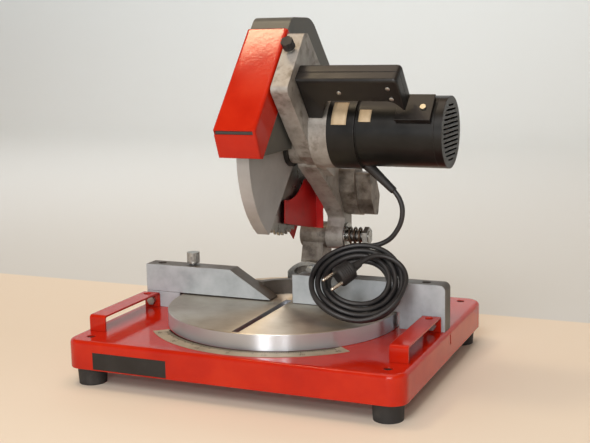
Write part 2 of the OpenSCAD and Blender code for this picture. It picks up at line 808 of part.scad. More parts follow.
module end_shield() {
  color("#8f8a82") difference() {
    rod_x(shield_x[0], shield_x[1], motor, motor_in - run_gap);
    rod_x(shield_x[0] - 1, shield_x[1] + 1, motor, shaft_in + 1);
    rod_x(shield_x[0] - 1, shield_x[0] + motor_bearing_t, motor, motor_bearing_r);
  }
}

cover_wall = 3;
cover_slots = 13;
slot_pitch = 6;
slot_w = 2.6;

// Round end cover with a row of cooling slots
module fan_cover() {
  color("#1d1d1d") difference() {
    rod_x(motor_end, motor_end + fan_l, motor, motor_r);
    rod_x(motor_end - 1, motor_end + fan_l - cover_wall, motor, motor_in);
    for (i = [0:cover_slots - 1])
      let (z = (i - (cover_slots - 1)/2)*slot_pitch, half = sqrt(pow(motor_in - 6, 2) - z*z))
        block([motor_end, motor.x - half, motor.y + z - slot_w/2],
          [motor_end + fan_l + 1, motor.x + half, motor.y + z + slot_w/2]);
  }
}

stator_x = [flange_out + 20, motor_end - 47];
stator_in = 27;

module stator() {
  color("#6d4a30") difference() {
    union() {
      rod_x(stator_x[0], stator_x[1], motor, motor_in - run_gap);
      rod_x(stator_x[0] - 14, stator_x[1] + 14, motor, motor_in - 5);
    }
    rod_x(stator_x[0] - 15, stator_x[1] + 15, motor, stator_in);
  }
}

// Involute outline of one flank, mirrored and repeated round the gear
function involute(base, r) = let (t = sqrt(r*r/(base*base) - 1)) t*180/PI - atan(t);
function gear_outline(n, m, back) =
  let (pitch = n*m/2, base = pitch*cos(20), root = pitch - 1.25*m, tip = pitch + m)
  let (low = max(base, root), half = 90/n - back/pitch*90/PI + involute(base, pitch))
  [for (i = [0:n - 1]) let (c = 360*i/n) each concat(
    [root*[cos(c - half), sin(c - half)]],
    [for (k = [0:4])
      let (r = low + (tip - low)*k/4, a = c - half + involute(base, r)) r*[cos(a), sin(a)]],
    [for (k = [4:-1:0])
      let (r = low + (tip - low)*k/4, a = c + half - involute(base, r)) r*[cos(a), sin(a)]],
    [root*[cos(c + half), sin(c + half)]])];
backlash = 0.3;

rotor_x = [stator_x[0] + 1, stator_x[1] - 1];
fan_x = [motor_end - 8, motor_end + 6];
fan_blades = 8;

// Shaft with the pinion, the cage core and the two bearings pressed onto it
module rotor() {
  color("#77736c") {
    rod_x(gear_x[0], motor_end + fan_l - cover_wall - 2, motor, shaft_in);
    rod_x(rotor_x[0], rotor_x[1], motor, stator_in - 0.6);
    plate_x(gear_x[0], gear_x[1]) translate(motor) rotate(90)
      polygon(gear_outline(gear_teeth, gear_module, backlash));
    rod_x(flange_out - motor_bearing_t, flange_out, motor, motor_bearing_r - run_gap);
    rod_x(shield_x[0], shield_x[0] + motor_bearing_t, motor, motor_bearing_r - run_gap);
  }
}

fan_hub = 6;

module fan() {
  color("#26262a") difference() {
    union() {
      rod_x(fan_x[0], fan_x[0] + 3, motor, motor_in - 8);
      rod_x(fan_x[0], fan_x[1], motor, shaft_in + fan_hub);
      translate([0, motor.x, motor.y]) for (i = [0:fan_blades - 1]) rotate([360*i/fan_blades, 0, 0])
        block([fan_x[0] + 2, -1, shaft_in + fan_hub - 1], [fan_x[1], 1, motor_in - 8]);
    }
    rod_x(fan_x[0] - 1, fan_x[1] + 1, motor, shaft_in + run_gap/2);
  }
}

// Terminal box on the motor's front shoulder, drawn facing up and then turned forward

box_a = 48;
box_x = [motor_end - 50, motor_end - 4];
box_half = 20;
box_wall = 2.5;
box_out = motor_r + 2.5;

module on_shoulder() {
  translate([0, motor.x, motor.y]) rotate([box_a, 0, 0]) children();
}

module terminal_box() {
  color("#1b1a19") on_shoulder() difference() {
    block([box_x[0], -box_half, motor_r - 8], [box_x[1], box_half, box_out]);
    block([box_x[0] + box_wall, -box_half + box_wall, motor_r - 9],
      [box_x[1] - box_wall, box_half - box_wall, box_out + 1]);
    rod_x(box_x[0] - 1, box_x[1] + 1, [0, 0], motor_r + run_gap);
  }
}

lid_screw_at = [motor_end - 15.5, -0.5];

module terminal_lid() {
  color("#242220") on_shoulder() difference() {
    block([box_x[0] - 1, -box_half - 1, box_out], [box_x[1] + 1, box_half + 1, box_out + box_wall]);
    translate([lid_screw_at.x, lid_screw_at.y, 0]) cylinder(h = 2*motor_r, r = 2 + bolt_gap, $fn = mid);
  }
}

module lid_screw() {
  color("#b9b49a") on_shoulder() translate([lid_screw_at.x, lid_screw_at.y, 0]) {
    translate([0, 0, box_out + box_wall]) cylinder(h = 2, r = 4, $fn = mid);
    translate([0, 0, motor_r + 0.5]) cylinder(h = box_out + box_wall - motor_r, r = 2, $fn = mid);
  }
}

// Handle

grip_outline = rounded(
  [[grip_left, 0], [grip_right, 0], [grip_right, handle_h + 15], [grip_right - 13, handle_h],
    [grip_left + 34, handle_h], [grip_left + 20, grip_leg], [grip_left, grip_leg]],
  [0, 3, 1.5, 4, 4, 4, 0]);
grip_split = handle_t/2;
grip_boss = 4.5;
grip_clear = 1.5;
grip_screw = [1.6, 3.2, 2.4];

// One half of the handle shell between two depths, with its screw bosses, hollowed to clear the motor
module grip_half(v0, v1, wall0, wall1) {
  difference() {
    grip_shell(v0, v1, wall0, wall1);
    rod_x(grip_left - 1, grip_right, motor, motor_flange_r + grip_clear);
  }
}

module grip_shell(v0, v1, wall0, wall1) {
  in_grip() difference() {
    translate([0, 0, v0]) linear_extrude(v1 - v0) polygon(grip_outline);
    difference() {
      block([grip_left + grip_wall, grip_wall, v0 + wall0],
        [grip_right - grip_wall, handle_h - grip_wall, v1 - wall1]);
      for (s = grip_screws) translate([s.x, s.y, v0]) cylinder(h = v1 - v0, r = grip_boss, $fn = mid);
    }
    for (s = grip_screws) translate([s.x, s.y, -1]) {
      cylinder(h = handle_t - 2, r = grip_screw[0] + run_gap, $fn = mid);
      cylinder(h = 1 + grip_screw[2] + 0.3, r = grip_screw[1] + bolt_gap, $fn = mid);
    }
    for (b = grip_bolts) translate([grip_left - 1, b.x, b.y]) rotate([0, 90, 0])
      cylinder(h = grip_bolt_l + 2, r = screw_r + run_gap, $fn = mid);
  }
}

module handle_front() {
  color("#171717") grip_half(0, grip_split, grip_wall, -1);
}

module handle_back() {
  color("#171717") difference() {
    grip_half(grip_split, handle_t, -1, grip_wall);
    in_grip() block([trigger_x[0] - slide_gap, trigger_u[0] - slide_gap, grip_split],
      [trigger_x[1] + slide_gap, trigger_u[1] + slide_gap, handle_t + 1]);
  }
}

module handle_screws() {
  color("#b4b2ac") in_grip() for (s = grip_screws) translate([s.x, s.y, 0]) {
    translate([0, 0, 0.3]) cylinder(h = grip_screw[2], r = grip_screw[1], $fn = mid);
    translate([0, 0, 0.3 + grip_screw[2]]) cylinder(h = handle_t - 7, r = grip_screw[0], $fn = mid);
  }
}

module switch() {
  color("#2b2b2b") in_grip()
    block([trigger_x[0] - 3, trigger_u[0] - 3, grip_wall], [trigger_x[1] + 3, trigger_u[1] + 3,
      handle_t - grip_wall - slide_gap - 4 - trigger_travel - slide_gap]);
}

module trigger() {
  color("#202020") in_grip() {
    block([trigger_x[0], trigger_u[0], handle_t - grip_wall - slide_gap - 1],
      [trigger_x[1], trigger_u[1], handle_t + 5]);
    block([trigger_x[0] - 3, trigger_u[0] - 3, handle_t - grip_wall - slide_gap - 4],
      [trigger_x[1] + 3, trigger_u[1] + 3, handle_t - grip_wall - slide_gap]);
  }
}

// Guards

// The hood's rim from the front foot over the top to the back foot
hood_rim = rounded(
  [arbor + [-144, 2], arbor + [-157, 35], arbor + [-46, 160], arbor + [-30, 179], arbor + [40, 179],
    arbor + [112, 107], arbor + [142, 75], arbor + [142, 2]],
  [0, 8, 0, 20, 46, 0, 14, 0]);
hood_hole = 40;

module hood() {
  color("#6f716f") difference() {
    plate_x(-hood_half, hood_half) polygon(hood_rim);
    plate_x(-hood_half + skin, hood_half - skin) polygon(concat(shifted(hood_rim, -skin),
      [arbor + [142 - skin, -1], arbor + [-144 + skin, -1]]));
    rod_x(-hood_half - 1, hood_half + 1, arbor, hood_hole);
    for (at = hood_bolts_at) rod_x(0, hood_half + 1, at, screw_r + bolt_gap);
    for (at = cover_screws_at) rod_x(-hood_half - 1, 0, at, screw_r + bolt_gap);
  }
}

spacer_r = screw_r + 4;

module hood_spacers() {
  color("#8d8d8a") for (at = hood_bolts_at) difference() {
    rod_x(hood_half, arm_in, at, spacer_r);
    rod_x(hood_half - 1, arm_in + 1, at, screw_r + bolt_gap);
  }
}

cover_gap = 0.4;
cover_half = hood_half + cover_gap + skin;
cover_rim = [arbor + [-50, 164], arbor + [-162, 37], arbor + [-147, 0]];
cover_back = [arbor + [-138, -1], arbor + [-88, 54], arbor + [-26, 140]];
cover_screws_at = [arbor + [-85, 100], arbor + [-132, 38]];
cover_slot = 5;

// Red front cover: a folded channel over the hood's front, with a slot at its fold
module front_cover() {
  color("#cf2f1d") difference() {
    plate_x(-cover_half, cover_half) polygon(concat(cover_rim, cover_back));
    plate_x(-cover_half + skin, cover_half - skin) polygon(concat(shifted(cover_rim, skin),
      [for (p = cover_back) p + [12, -8]]));
    translate([-cover_half - 1, cover_rim[1].x - 1, cover_rim[1].y - cover_slot/2])
      cube([2*cover_half + 1 - 2*skin, 8, cover_slot]);
    for (at = cover_screws_at) rod_x(-cover_half - 1, 0, at, screw_r + bolt_gap);
    for (at = hood_bolts_at) rod_x(0, cover_half + 1, at, spacer_r + slide_gap);
  }
}

module cover_screws() {
  color("#8d8d8a") for (at = cover_screws_at) {
    rod_x(-cover_half - 3, -cover_half, at, screw_head[0]);
    rod_x(-cover_half, -hood_half + skin, at, screw_r);
    rod_x(-hood_half + skin, -hood_half + skin + 4, at, screw_head[0]);
  }
}

rear_half = 7.5;
rear_wall = 1.2;
rear_arc = 75;
tooth_gap = 2;
rear_edge = pivot.x - 27;
rear_outline = [arbor + [-18, -60], arbor + [-21, -106],
  [rear_edge, pivot.y + 15], [rear_edge, arbor.y - 48]];
rear_tip = [arbor + [10, -112], arbor + [42, -140], arbor + [58, -122]];

// Fixed red channel round the back of the blade, with a tab on the arm
module rear_guard() {
  color("#8e1a1c") difference() {
    union() {
      difference() {
        plate_x(-rear_half, rear_half) polygon(rear_outline);
        block([-rear_half + rear_wall, arbor.x - blade_r, pivot.y],
          [rear_half - rear_wall, rear_edge - rear_wall, arbor.y]);
      }
      plate_x(-rear_half, -rear_half + rear_wall) polygon(rear_tip);
      block([-rear_half, rear_edge - rear_wall, pivot.y + 15], [lug_in, rear_edge, arbor.y - 62]);
      block([lug_in - rear_wall, rear_edge - rear_wall, rear_tab_z[0]], [lug_in, rear_tab[1], rear_tab_z[1]]);
    }
    rod_x(-rear_half - 1, rear_half + 1, arbor, rear_arc);
    rod_x(-rear_half + rear_wall, rear_half - rear_wall, arbor, blade_r + tooth_gap);
    for (at = guard_screws_at) rod_x(0, lug_in + 1, at, screw_r + bolt_gap);
  }
}

// One screw that clamps a guard's sheet, with its head on the side of the blade
module guard_screw(at, sheet_x, end_x) {
  rod_x(sheet_x - screw_head[1], sheet_x, at, screw_head[0]);
  rod_x(sheet_x, end_x, at, screw_r);
}

module guard_screws() {
  color("#8d8d8a") {
    for (at = hood_bolts_at) guard_screw(at, hood_half - skin, arm_in + 12);
    for (at = guard_screws_at) guard_screw(at, lug_in - rear_wall, lug_in + 14);
  }
}

guard_edge = [8, -28];
guard_edge_dir = [-0.7155, -0.6986];

// Sector of the swinging guard about the arbor
module guard_sector() {
  intersection() {
    circle(guard_r, $fn = 180);
    polygon([guard_edge, guard_edge + 180*guard_edge_dir, [-200, -40], [-180, 100], [6, 27], [20, 0]]);
  }
}

module lower_guard() {
  color("#9b9d9c") translate([0, arbor.x, arbor.y]) difference() {
    plate_x(-guard_half, guard_half) union() {
      guard_sector();
      circle(hub_seat + 9, $fn = fine);
    }
    plate_x(-guard_half + skin, guard_half - skin) circle(guard_r - skin, $fn = 180);
    rod_x(-guard_half - 1, 0, [0, 0], hub_seat + 12);
    rod_x(0, guard_half + 1, [0, 0], hub_seat + run_gap);
  }
}

module guard_hub() {
  color("#141414") difference() {
    rod_x(guard_half, hub_x[1] - slide_gap, arbor, hub_seat + 9);
    rod_x(guard_half - 1, hub_x[1], arbor, hub_seat + run_gap);
  }
}

// Spindle and blade

flange_r = 16;
flange_t = 4.9;
nut_t = 8;

module spindle() {
  color("#8d8d8a") {
    rod_x(-blade_t/2 - flange_t - nut_t - 2, arm_out, arbor, spindle_r);
    rod_x(arm_out, arm_out + back_bearing_t, arbor, back_journal);
    plate_x(gear_x[0], gear_x[1]) translate(arbor) rotate(90)
      polygon(gear_outline(gear_teeth, gear_module, backlash));
  }
}

module spindle_bearings() {
  color("#a8a8a4") {
    difference() {
      rod_x(front_bearing[0], front_bearing[1], arbor, bearing_r - run_gap/2);
      rod_x(front_bearing[0] - 1, front_bearing[1] + 1, arbor, spindle_r + run_gap);
    }
    difference() {
      rod_x(arm_out, arm_out + back_bearing_t - slide_gap, arbor, back_bearing_r - run_gap/2);
      rod_x(arm_out - 1, arm_out + back_bearing_t, arbor, back_journal + run_gap);
    }
  }
}

tooth_h = 6;

module blade() {
  color("#8c8a86") difference() {
    plate_x(-blade_t/2, blade_t/2) translate(arbor) polygon([for (i = [0:teeth - 1])
      let (a = 360*i/teeth, s = 360/teeth)
      each [blade_r*[cos(a), sin(a)], (blade_r - tooth_h)*[cos(a + 0.15*s), sin(a + 0.15*s)],
        (blade_r - 0.7*tooth_h)*[cos(a + 0.5*s), sin(a + 0.5*s)],
        (blade_r - 0.5)*[cos(a + 0.82*s), sin(a + 0.82*s)]]]);
    rod_x(-blade_t, blade_t, arbor, spindle_r + run_gap/2);
  }
}

module flanges() {
  color("#7a7a77") both_x() difference() {
    rod_x(blade_t/2, blade_t/2 + flange_t, arbor, flange_r);
    rod_x(0, blade_t + flange_t, arbor, spindle_r + run_gap/2);
  }
}

module arbor_nut() {
  color("#7a7a77") difference() {
    hex_x(-blade_t/2 - flange_t - nut_t, -blade_t/2 - flange_t, arbor, spindle_r + 6);
    rod_x(-blade_t/2 - flange_t - nut_t - 1, 0, arbor, spindle_r + run_gap/2);
  }
}

// Cord: the strain relief under the motor, the lead, the stowed coil and the plug

relief_r = 7.5;
relief_tip = 5;
relief_l = 49;
relief_root = 16;
relief_a = 132.5;
relief_dir = [sin(relief_a), 0, cos(relief_a)];
relief_at = [flange_out + ring_l + 3.5, motor.x, motor.y - motor_r - 0.5];
relief_end = relief_at + relief_l*relief_dir;

// Tapered rubber sleeve that leaves the motor's underside to the right
module strain_relief() {
  color("#141414") difference() {
    translate(relief_at) rotate([0, relief_a, 0]) rotate_extrude($fn = mid)
      polygon([[0, -relief_root], [relief_r, -relief_root], [relief_r, 2],
        [relief_tip, relief_l], [0, relief_l]]);
    rod_x(flange_out, motor_end, motor, motor_r + run_gap);
    rod_x(flange_out, flange_out + ring_l, motor, motor_flange_r + run_gap);
  }
}

// The stowed coil stands on the table's right and leans back, held at its top by the lead.
// Its own frame has e along it, u up it and n to the front.
coil_rx = 65;
coil_ry = 62.5;
coil_pitch = cord_d + 1.5;
coil_rise = cord_d + 0.8;
coil_lean = 43;
coil_yaw = 18;
coil_loop = 24;
coil_foot = [142, -88];
coil_e = [cos(coil_yaw), sin(coil_yaw), 0];
coil_u = [-sin(coil_yaw)*cos(coil_lean), cos(coil_yaw)*cos(coil_lean), sin(coil_lean)];
coil_n = cross(coil_e, coil_u);
coil_low = table_top + slide_gap + cord_d/2 + coil_rise/2*cos(coil_lean);
coil_mid = [coil_foot.x, coil_foot.y, coil_low] + coil_ry*coil_u;
function on_coil(p) = coil_mid + p.x*coil_e + p.y*coil_u + p.z*coil_n;

// Loops that spiral in on the back layer, climb in half a turn and spiral out on the front layer
coil_in = coil_turns*coil_loop;
coil_climb = coil_loop/2;
coil_all = 2*coil_in + coil_climb;
coil_loops = [for (i = [0:coil_all])
  let (a = 90 + 360*i/coil_loop, up = max(0, min(1, (i - coil_in)/coil_climb)))
  let (inward = coil_pitch/coil_loop*min(i, coil_in, coil_all - i))
  on_coil([(coil_rx - inward)*cos(a), (coil_ry - inward)*sin(a), coil_rise*(up - 0.5)])];

// A smooth curve through chosen points, with n steps between neighbours
function along_curve(p, n) =
  let (m = len(p))
  [for (i = [0:m - 2], k = [0:n - 1])
    let (t = k/n, a = p[max(i - 1, 0)], b = p[i], c = p[i + 1], d = p[min(i + 2, m - 1)])
    b + 0.5*t*(c - a + t*(2*a - 5*b + 4*c - d + t*(3*(b - c) + d - a)))];
function path_length(p) = [for (i = [1:len(p) - 1]) norm(p[i] - p[i - 1])]*[for (i = [1:len(p) - 1]) 1];

// The coil's tail crosses its right side in front and turns down into the plug, in the coil's frame
plug_at = [3, 17.7, 20];
plug_dir = [-0.77, -0.638, 0];
tail_route = [[17.4, -60.4, 5], [32.3, -54.4, 7.5], [45, -44.8, 10.5], [54.8, -32.3, 12.5], [60.9, -17.7, 13],
  [64, -2, 13], [59.6, 14.5, 13.3], [47.5, 26.6, 15], [31, 31, 17.5], [16.5, 27.7, 19.5]];
coil_start = coil_loops[0] + cord_d*coil_e;
tail_points = concat(tail_route, [plug_at]);
tail = along_curve([for (p = tail_points) on_coil(p)], 2);
coil_path = concat([coil_start], coil_loops, tail, [on_coil(plug_at)]);

// The lead hangs from the strain relief to the coil's top
cord_gap = 0.6;
lead_route = [[168.6, 10, 243.8], [172.7, 10, 232.5], [173, 10, 220.5], [170.2, 10, 208.9],
  [164.8, 9.9, 198.3], [157, 9.8, 188.4], [147.2, 9.6, 181.6], [136.2, 7.8, 177.4]];
lead_end = coil_start + cord_gap*coil_e;
lead_path = concat(
  along_curve(concat([relief_end + cord_gap*relief_dir, relief_end + cord_d/2*relief_dir], lead_route,
    [coil_start + cord_d*coil_e, lead_end]), 3), [lead_end]);
echo(coil_gap = least_gap(coil_path, 6) - cord_d);
echo(coil_length = path_length(coil_path), lead_length = path_length(lead_path));

module cord_lead() {
  color("#131313") tube(lead_path, cord_d/2, 10, [0, 1, 0]);
}

module cord_coil() {
  color("#131313") tube(coil_path, cord_d/2, 6, coil_n);
}

plug_l = 38;
plug_r = 14.5;
plug_sleeve = cord_d/2 + 1;
plug_profile = [[0, 0], [plug_sleeve, 0], [plug_sleeve + 1, 12], [plug_sleeve + 3.5, 16],
  [plug_r - 1.5, 22], [plug_r, 30], [plug_r, plug_l], [0, plug_l]];
pin_r = 2.4;
pin_l = 19;
pin_gap = 9.5;

// Moulded round plug with two pins, lying in the coil
module plug() {
  d = plug_dir.x*coil_e + plug_dir.y*coil_u;
  side = cross(coil_n, d);
  at = on_coil(plug_at);
  color("#131313") multmatrix([
    [side.x, coil_n.x, d.x, at.x],
    [side.y, coil_n.y, d.y, at.y],
    [side.z, coil_n.z, d.z, at.z],
    [0, 0, 0, 1]
  ]) {
    rotate_extrude($fn = mid) polygon(plug_profile);
    for (s = [-1, 1]) translate([s*pin_gap, 0, plug_l]) cylinder(h = pin_l, r = pin_r, $fn = mid);
  }
}

tray();
feet();
name_plate();
scale_plate();
left_rail();
right_rail();
rail_bolts();
fence();
fence_bolts();
sliding_fence();
fence_screw();
table();
table_retainer();
retainer_screw();
quadrant();
quadrant_bolts();
bevel_pin();
column();
bevel_bolt();
pivot_shaft();
pivot_washer();
pivot_nut();
return_spring();
arm();
spring_housing();
knob_stud();
knob();
motor_flange();
arm_bolts();
motor_housing();
end_shield();
fan_cover();
stator();
terminal_box();
terminal_lid();
lid_screw();
handle_front();
handle_back();
handle_screws();
switch();
trigger();
hood();
hood_spacers();
front_cover();
cover_screws();
rear_guard();
guard_screws();
lower_guard();
guard_hub();
spindle();
spindle_bearings();
blade();
flanges();
arbor_nut();
rotor();
fan();
strain_relief();
cord_lead();
cord_coil();
plug();
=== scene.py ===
import math

import bpy
import numpy as np
from mathutils import Matrix


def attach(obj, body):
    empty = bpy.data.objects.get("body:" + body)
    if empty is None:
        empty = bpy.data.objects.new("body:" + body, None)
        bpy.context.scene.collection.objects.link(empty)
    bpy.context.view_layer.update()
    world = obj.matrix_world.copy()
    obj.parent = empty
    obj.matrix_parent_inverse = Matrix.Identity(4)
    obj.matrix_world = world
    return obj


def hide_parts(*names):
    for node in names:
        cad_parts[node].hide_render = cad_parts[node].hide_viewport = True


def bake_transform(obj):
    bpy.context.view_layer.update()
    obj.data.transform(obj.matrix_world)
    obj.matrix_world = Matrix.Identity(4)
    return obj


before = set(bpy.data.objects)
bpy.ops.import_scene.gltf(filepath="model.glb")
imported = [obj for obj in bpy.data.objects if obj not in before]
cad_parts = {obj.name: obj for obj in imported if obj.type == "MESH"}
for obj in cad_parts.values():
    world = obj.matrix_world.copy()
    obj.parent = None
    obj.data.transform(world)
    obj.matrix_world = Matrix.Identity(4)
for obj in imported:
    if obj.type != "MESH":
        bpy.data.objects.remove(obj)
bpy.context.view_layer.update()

# Camera: a long lens at the saw's front right, a little above the table.
# Its place and turn are those of the photograph, solved from the base and the table's circle.
camera_at = [0.5985, -1.3550, 0.4612]
sight = np.array([-0.3879, 0.9058, -0.1707])
heading = math.radians(23.18)
roll = math.radians(-1.07)
level = np.array([math.cos(heading), math.sin(heading), 0.0])
across = math.cos(roll) * level + math.sin(roll) * np.cross(level, sight)
stand = np.eye(4)
stand[:3, :3] = np.stack([across, np.cross(across, sight), -sight], axis=1)
stand[:3, 3] = camera_at
camera = bpy.data.objects.new("camera", bpy.data.cameras.new("camera"))
bpy.context.scene.collection.objects.link(camera)
camera.data.sensor_fit = "HORIZONTAL"
camera.data.sensor_width = 36.0
camera.data.lens = 64.65
camera.matrix_world = Matrix(stand.tolist())
bpy.context.scene.camera = camera


# Mains cord: 2.4 m of 7 mm round black PVC lead, from the motor down to a hand-wound coil on the
# table. The lead's first 135 mm are made in three lengths that are fixed to no part; the rest of the
# lead, with the coil and its plug, stays on the base.
def curve(points, steps):
    """A smooth curve through points: on each stretch from b to c, with a before and d after it,
    b + t/2 (c - a + t (2a - 5b + 4c - d + t (3 (b - c) + d - a))) for t from 0 to 1."""
    points = np.asarray(points, float)
    before = np.vstack([points[:1], points[:-2]])
    after = np.vstack([points[2:], points[-1:]])
    a, b, c, d = (q[:, None] for q in (before, points[:-1], points[1:], after))
    t = np.linspace(0, 1, steps, endpoint=False)[None, :, None]
    run = b + 0.5 * t * (c - a + t * (2 * a - 5 * b + 4 * c - d + t * (3 * (b - c) + d - a)))
    return np.vstack([run.reshape(-1, 3), points[-1:]])


def unit(v):
    """Vectors of length one, along the last axis."""
    return v / np.linalg.norm(v, axis=-1, keepdims=True)


def tube(path, radius, sides, lean):
    """A round section carried along a path: path + radius (cos a N + sin a B), where N is the part
    of the vector lean square to the path and B is square to both."""
    ahead = unit(np.gradient(path, axis=0))
    n = unit(lean - (ahead @ lean)[:, None] * ahead)
    b = np.cross(ahead, n)
    a = np.linspace(0, 2 * np.pi, sides, endpoint=False)[None, :, None]
    r = np.broadcast_to(radius, len(path))[:, None, None]
    return path[:, None] + r * (np.cos(a) * n[:, None] + np.sin(a) * b[:, None])


def surface(name, *grids, ring=True, sharp=40, kept=None):
    """One mesh from grids of points: each face joins four neighbours. With ring, a grid's rows close
    on themselves, and its first and last rows are filled. Only the faces in kept are made, if given,
    and edges that bend by more than sharp degrees stay sharp."""
    points, faces, first = [], [], 0
    for grid in grids:
        m, n = grid.shape[:2]
        at = first + np.arange(m * n).reshape(m, n)
        wide = np.hstack([at, at[:, :1]]) if ring else at
        quads = np.stack([wide[:-1, :-1], wide[:-1, 1:], wide[1:, 1:], wide[1:, :-1]], -1)
        faces += quads[slice(None) if kept is None else kept].reshape(-1, 4).tolist()
        if ring:
            faces += [at[0, ::-1].tolist(), at[-1].tolist()]
        points.append(grid.reshape(-1, 3))
        first += m * n
    mesh = bpy.data.meshes.new(name)
    mesh.from_pydata(np.vstack(points), [], faces)
    mesh.shade_smooth()
    mesh.set_sharp_from_angle(angle=math.radians(sharp))
    piece = bpy.data.objects.new(name, mesh)
    bpy.context.scene.collection.objects.link(piece)
    return piece


def linear(code):
    """An sRGB hex colour as linear red, green, blue and alpha."""
    part = np.array([int(code[i:i + 2], 16) for i in (1, 3, 5)]) / 255
    part = np.where(part <= 0.04045, part / 12.92, ((part + 0.055) / 1.055) ** 2.4)
    return (*part.tolist(), 1.0)


def add(tree, kind, settings, links):
    """One node: its settings go to properties or sockets, and its links to sockets, by name or
    number."""
    node = tree.nodes.new("ShaderNode" + kind)
    for key, value in settings.items():
        if isinstance(key, str) and hasattr(node, key):
            setattr(node, key, value)
        else:
            node.inputs[key].default_value = value
    for key, socket in links.items():
        tree.links.new(socket, node.inputs[key])
    return node


def material(name, **sockets):
    """A new material whose one shader has these constants, with the object's own coordinates beside
    it."""
    made = bpy.data.materials.new(name)
    made.use_nodes = True
    tree = made.node_tree
    shader = tree.nodes["Principled BSDF"]
    for key, value in sockets.items():
        shader.inputs[key.replace("_", " ").title().replace("Ior", "IOR")].default_value = value
    place = add(tree, "TexCoord", {}, {}).outputs["Object"]
    return made, tree, shader, place


def weather(tree, shader, place, tones, patch_mm, rough, grain_mm, depth_mm, edge_mm,
            worn=None, wear=0.0, speck=None, speck_mm=None):
    """The surface of a real piece, with its sizes in millimetres: tones in patches of one size,
    roughness that goes with them, a finer grain that stands up by a depth, edges rounded over a
    radius, a worn tone where they are rubbed, and specks of one more tone. The colour comes back
    for a mix with another."""
    rub_mm = 9
    patches = add(tree, "TexNoise", {"Scale": 1000 / patch_mm, "Detail": 5.0, "Roughness": 0.6},
                  {"Vector": place})
    spread = add(tree, "MapRange", {"From Min": 0.32, "From Max": 0.68},
                 {"Value": patches.outputs[0]})
    tone = add(tree, "ValToRGB", {}, {0: spread.outputs[0]})
    while len(tone.color_ramp.elements) < len(tones):
        tone.color_ramp.elements.new(0.5)
    for stop, (i, code) in zip(tone.color_ramp.elements, enumerate(tones)):
        stop.position, stop.color = i / (len(tones) - 1), linear(code)
    colour = tone.outputs[0]
    soft = add(tree, "Bevel", {"samples": 6, "Radius": edge_mm / 1000}, {})
    if worn:
        flat = add(tree, "NewGeometry", {}, {})
        turn = add(tree, "VectorMath", {"operation": "DOT_PRODUCT"},
                   {0: soft.outputs[0], 1: flat.outputs["Normal"]})
        rub = add(tree, "TexNoise", {"Scale": 1000 / rub_mm, "Detail": 6.0, "Roughness": 0.7},
                  {"Vector": place})
        edge = add(tree, "MapRange",
                   {"From Min": 0.96, "From Max": 0.78, "To Min": 0.0, "To Max": wear},
                   {"Value": turn.outputs["Value"]})
        bare = add(tree, "MapRange", {"From Min": 0.42, "From Max": 0.6}, {"Value": rub.outputs[0]})
        share = add(tree, "Math", {"operation": "MULTIPLY"},
                    {0: edge.outputs[0], 1: bare.outputs[0]})
        colour = add(tree, "MixRGB", {2: linear(worn)}, {0: share.outputs[0], 1: colour}).outputs[0]
    if speck:
        dots = add(tree, "TexNoise", {"Scale": 1000 / speck_mm, "Detail": 3.0, "Roughness": 0.55},
                   {"Vector": place})
        dark = add(tree, "MapRange",
                   {"From Min": 0.54, "From Max": 0.74, "To Min": 0.0, "To Max": 0.7},
                   {"Value": dots.outputs[0]})
        colour = add(tree, "MixRGB", {2: linear(speck)}, {0: dark.outputs[0], 1: colour}).outputs[0]
    tree.links.new(colour, shader.inputs["Base Color"])
    gloss = add(tree, "MapRange", {"To Min": rough[0], "To Max": rough[1]},
                {"Value": spread.outputs[0]})
    tree.links.new(gloss.outputs[0], shader.inputs["Roughness"])
    grain = add(tree, "TexNoise", {"Scale": 1000 / grain_mm, "Detail": 3.0}, {"Vector": place})
    bump = add(tree, "Bump", {"Strength": 1.0, "Distance": depth_mm / 1000},
               {"Height": grain.outputs[0], "Normal": soft.outputs[0]})
    tree.links.new(bump.outputs[0], shader.inputs["Normal"])
    return colour


def dress(made, *pieces):
    """Gives pieces, or CAD nodes by name, one material."""
    for piece in pieces:
        mesh = (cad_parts[piece] if isinstance(piece, str) else piece).data
        mesh.materials.clear()
        mesh.materials.append(made)


cord_d = 7.0
# The coil lies in a plane of its own: e runs along it, u up it, and n stands out of it.
coil_yaw, coil_lean = np.radians([18.0, 43.0])
coil_e = np.array([math.cos(coil_yaw), math.sin(coil_yaw), 0.0])
coil_u = np.array([-math.sin(coil_yaw) * math.cos(coil_lean),
                   math.cos(coil_yaw) * math.cos(coil_lean), math.sin(coil_lean)])
coil_n = np.cross(coil_e, coil_u)
coil_frame = np.stack([coil_e, coil_u, coil_n])
coil_foot = np.array([142.0, -88.0, 93.15])
half_w, half_h = 65.0, 62.5
coil_mid = coil_foot + half_h * coil_u
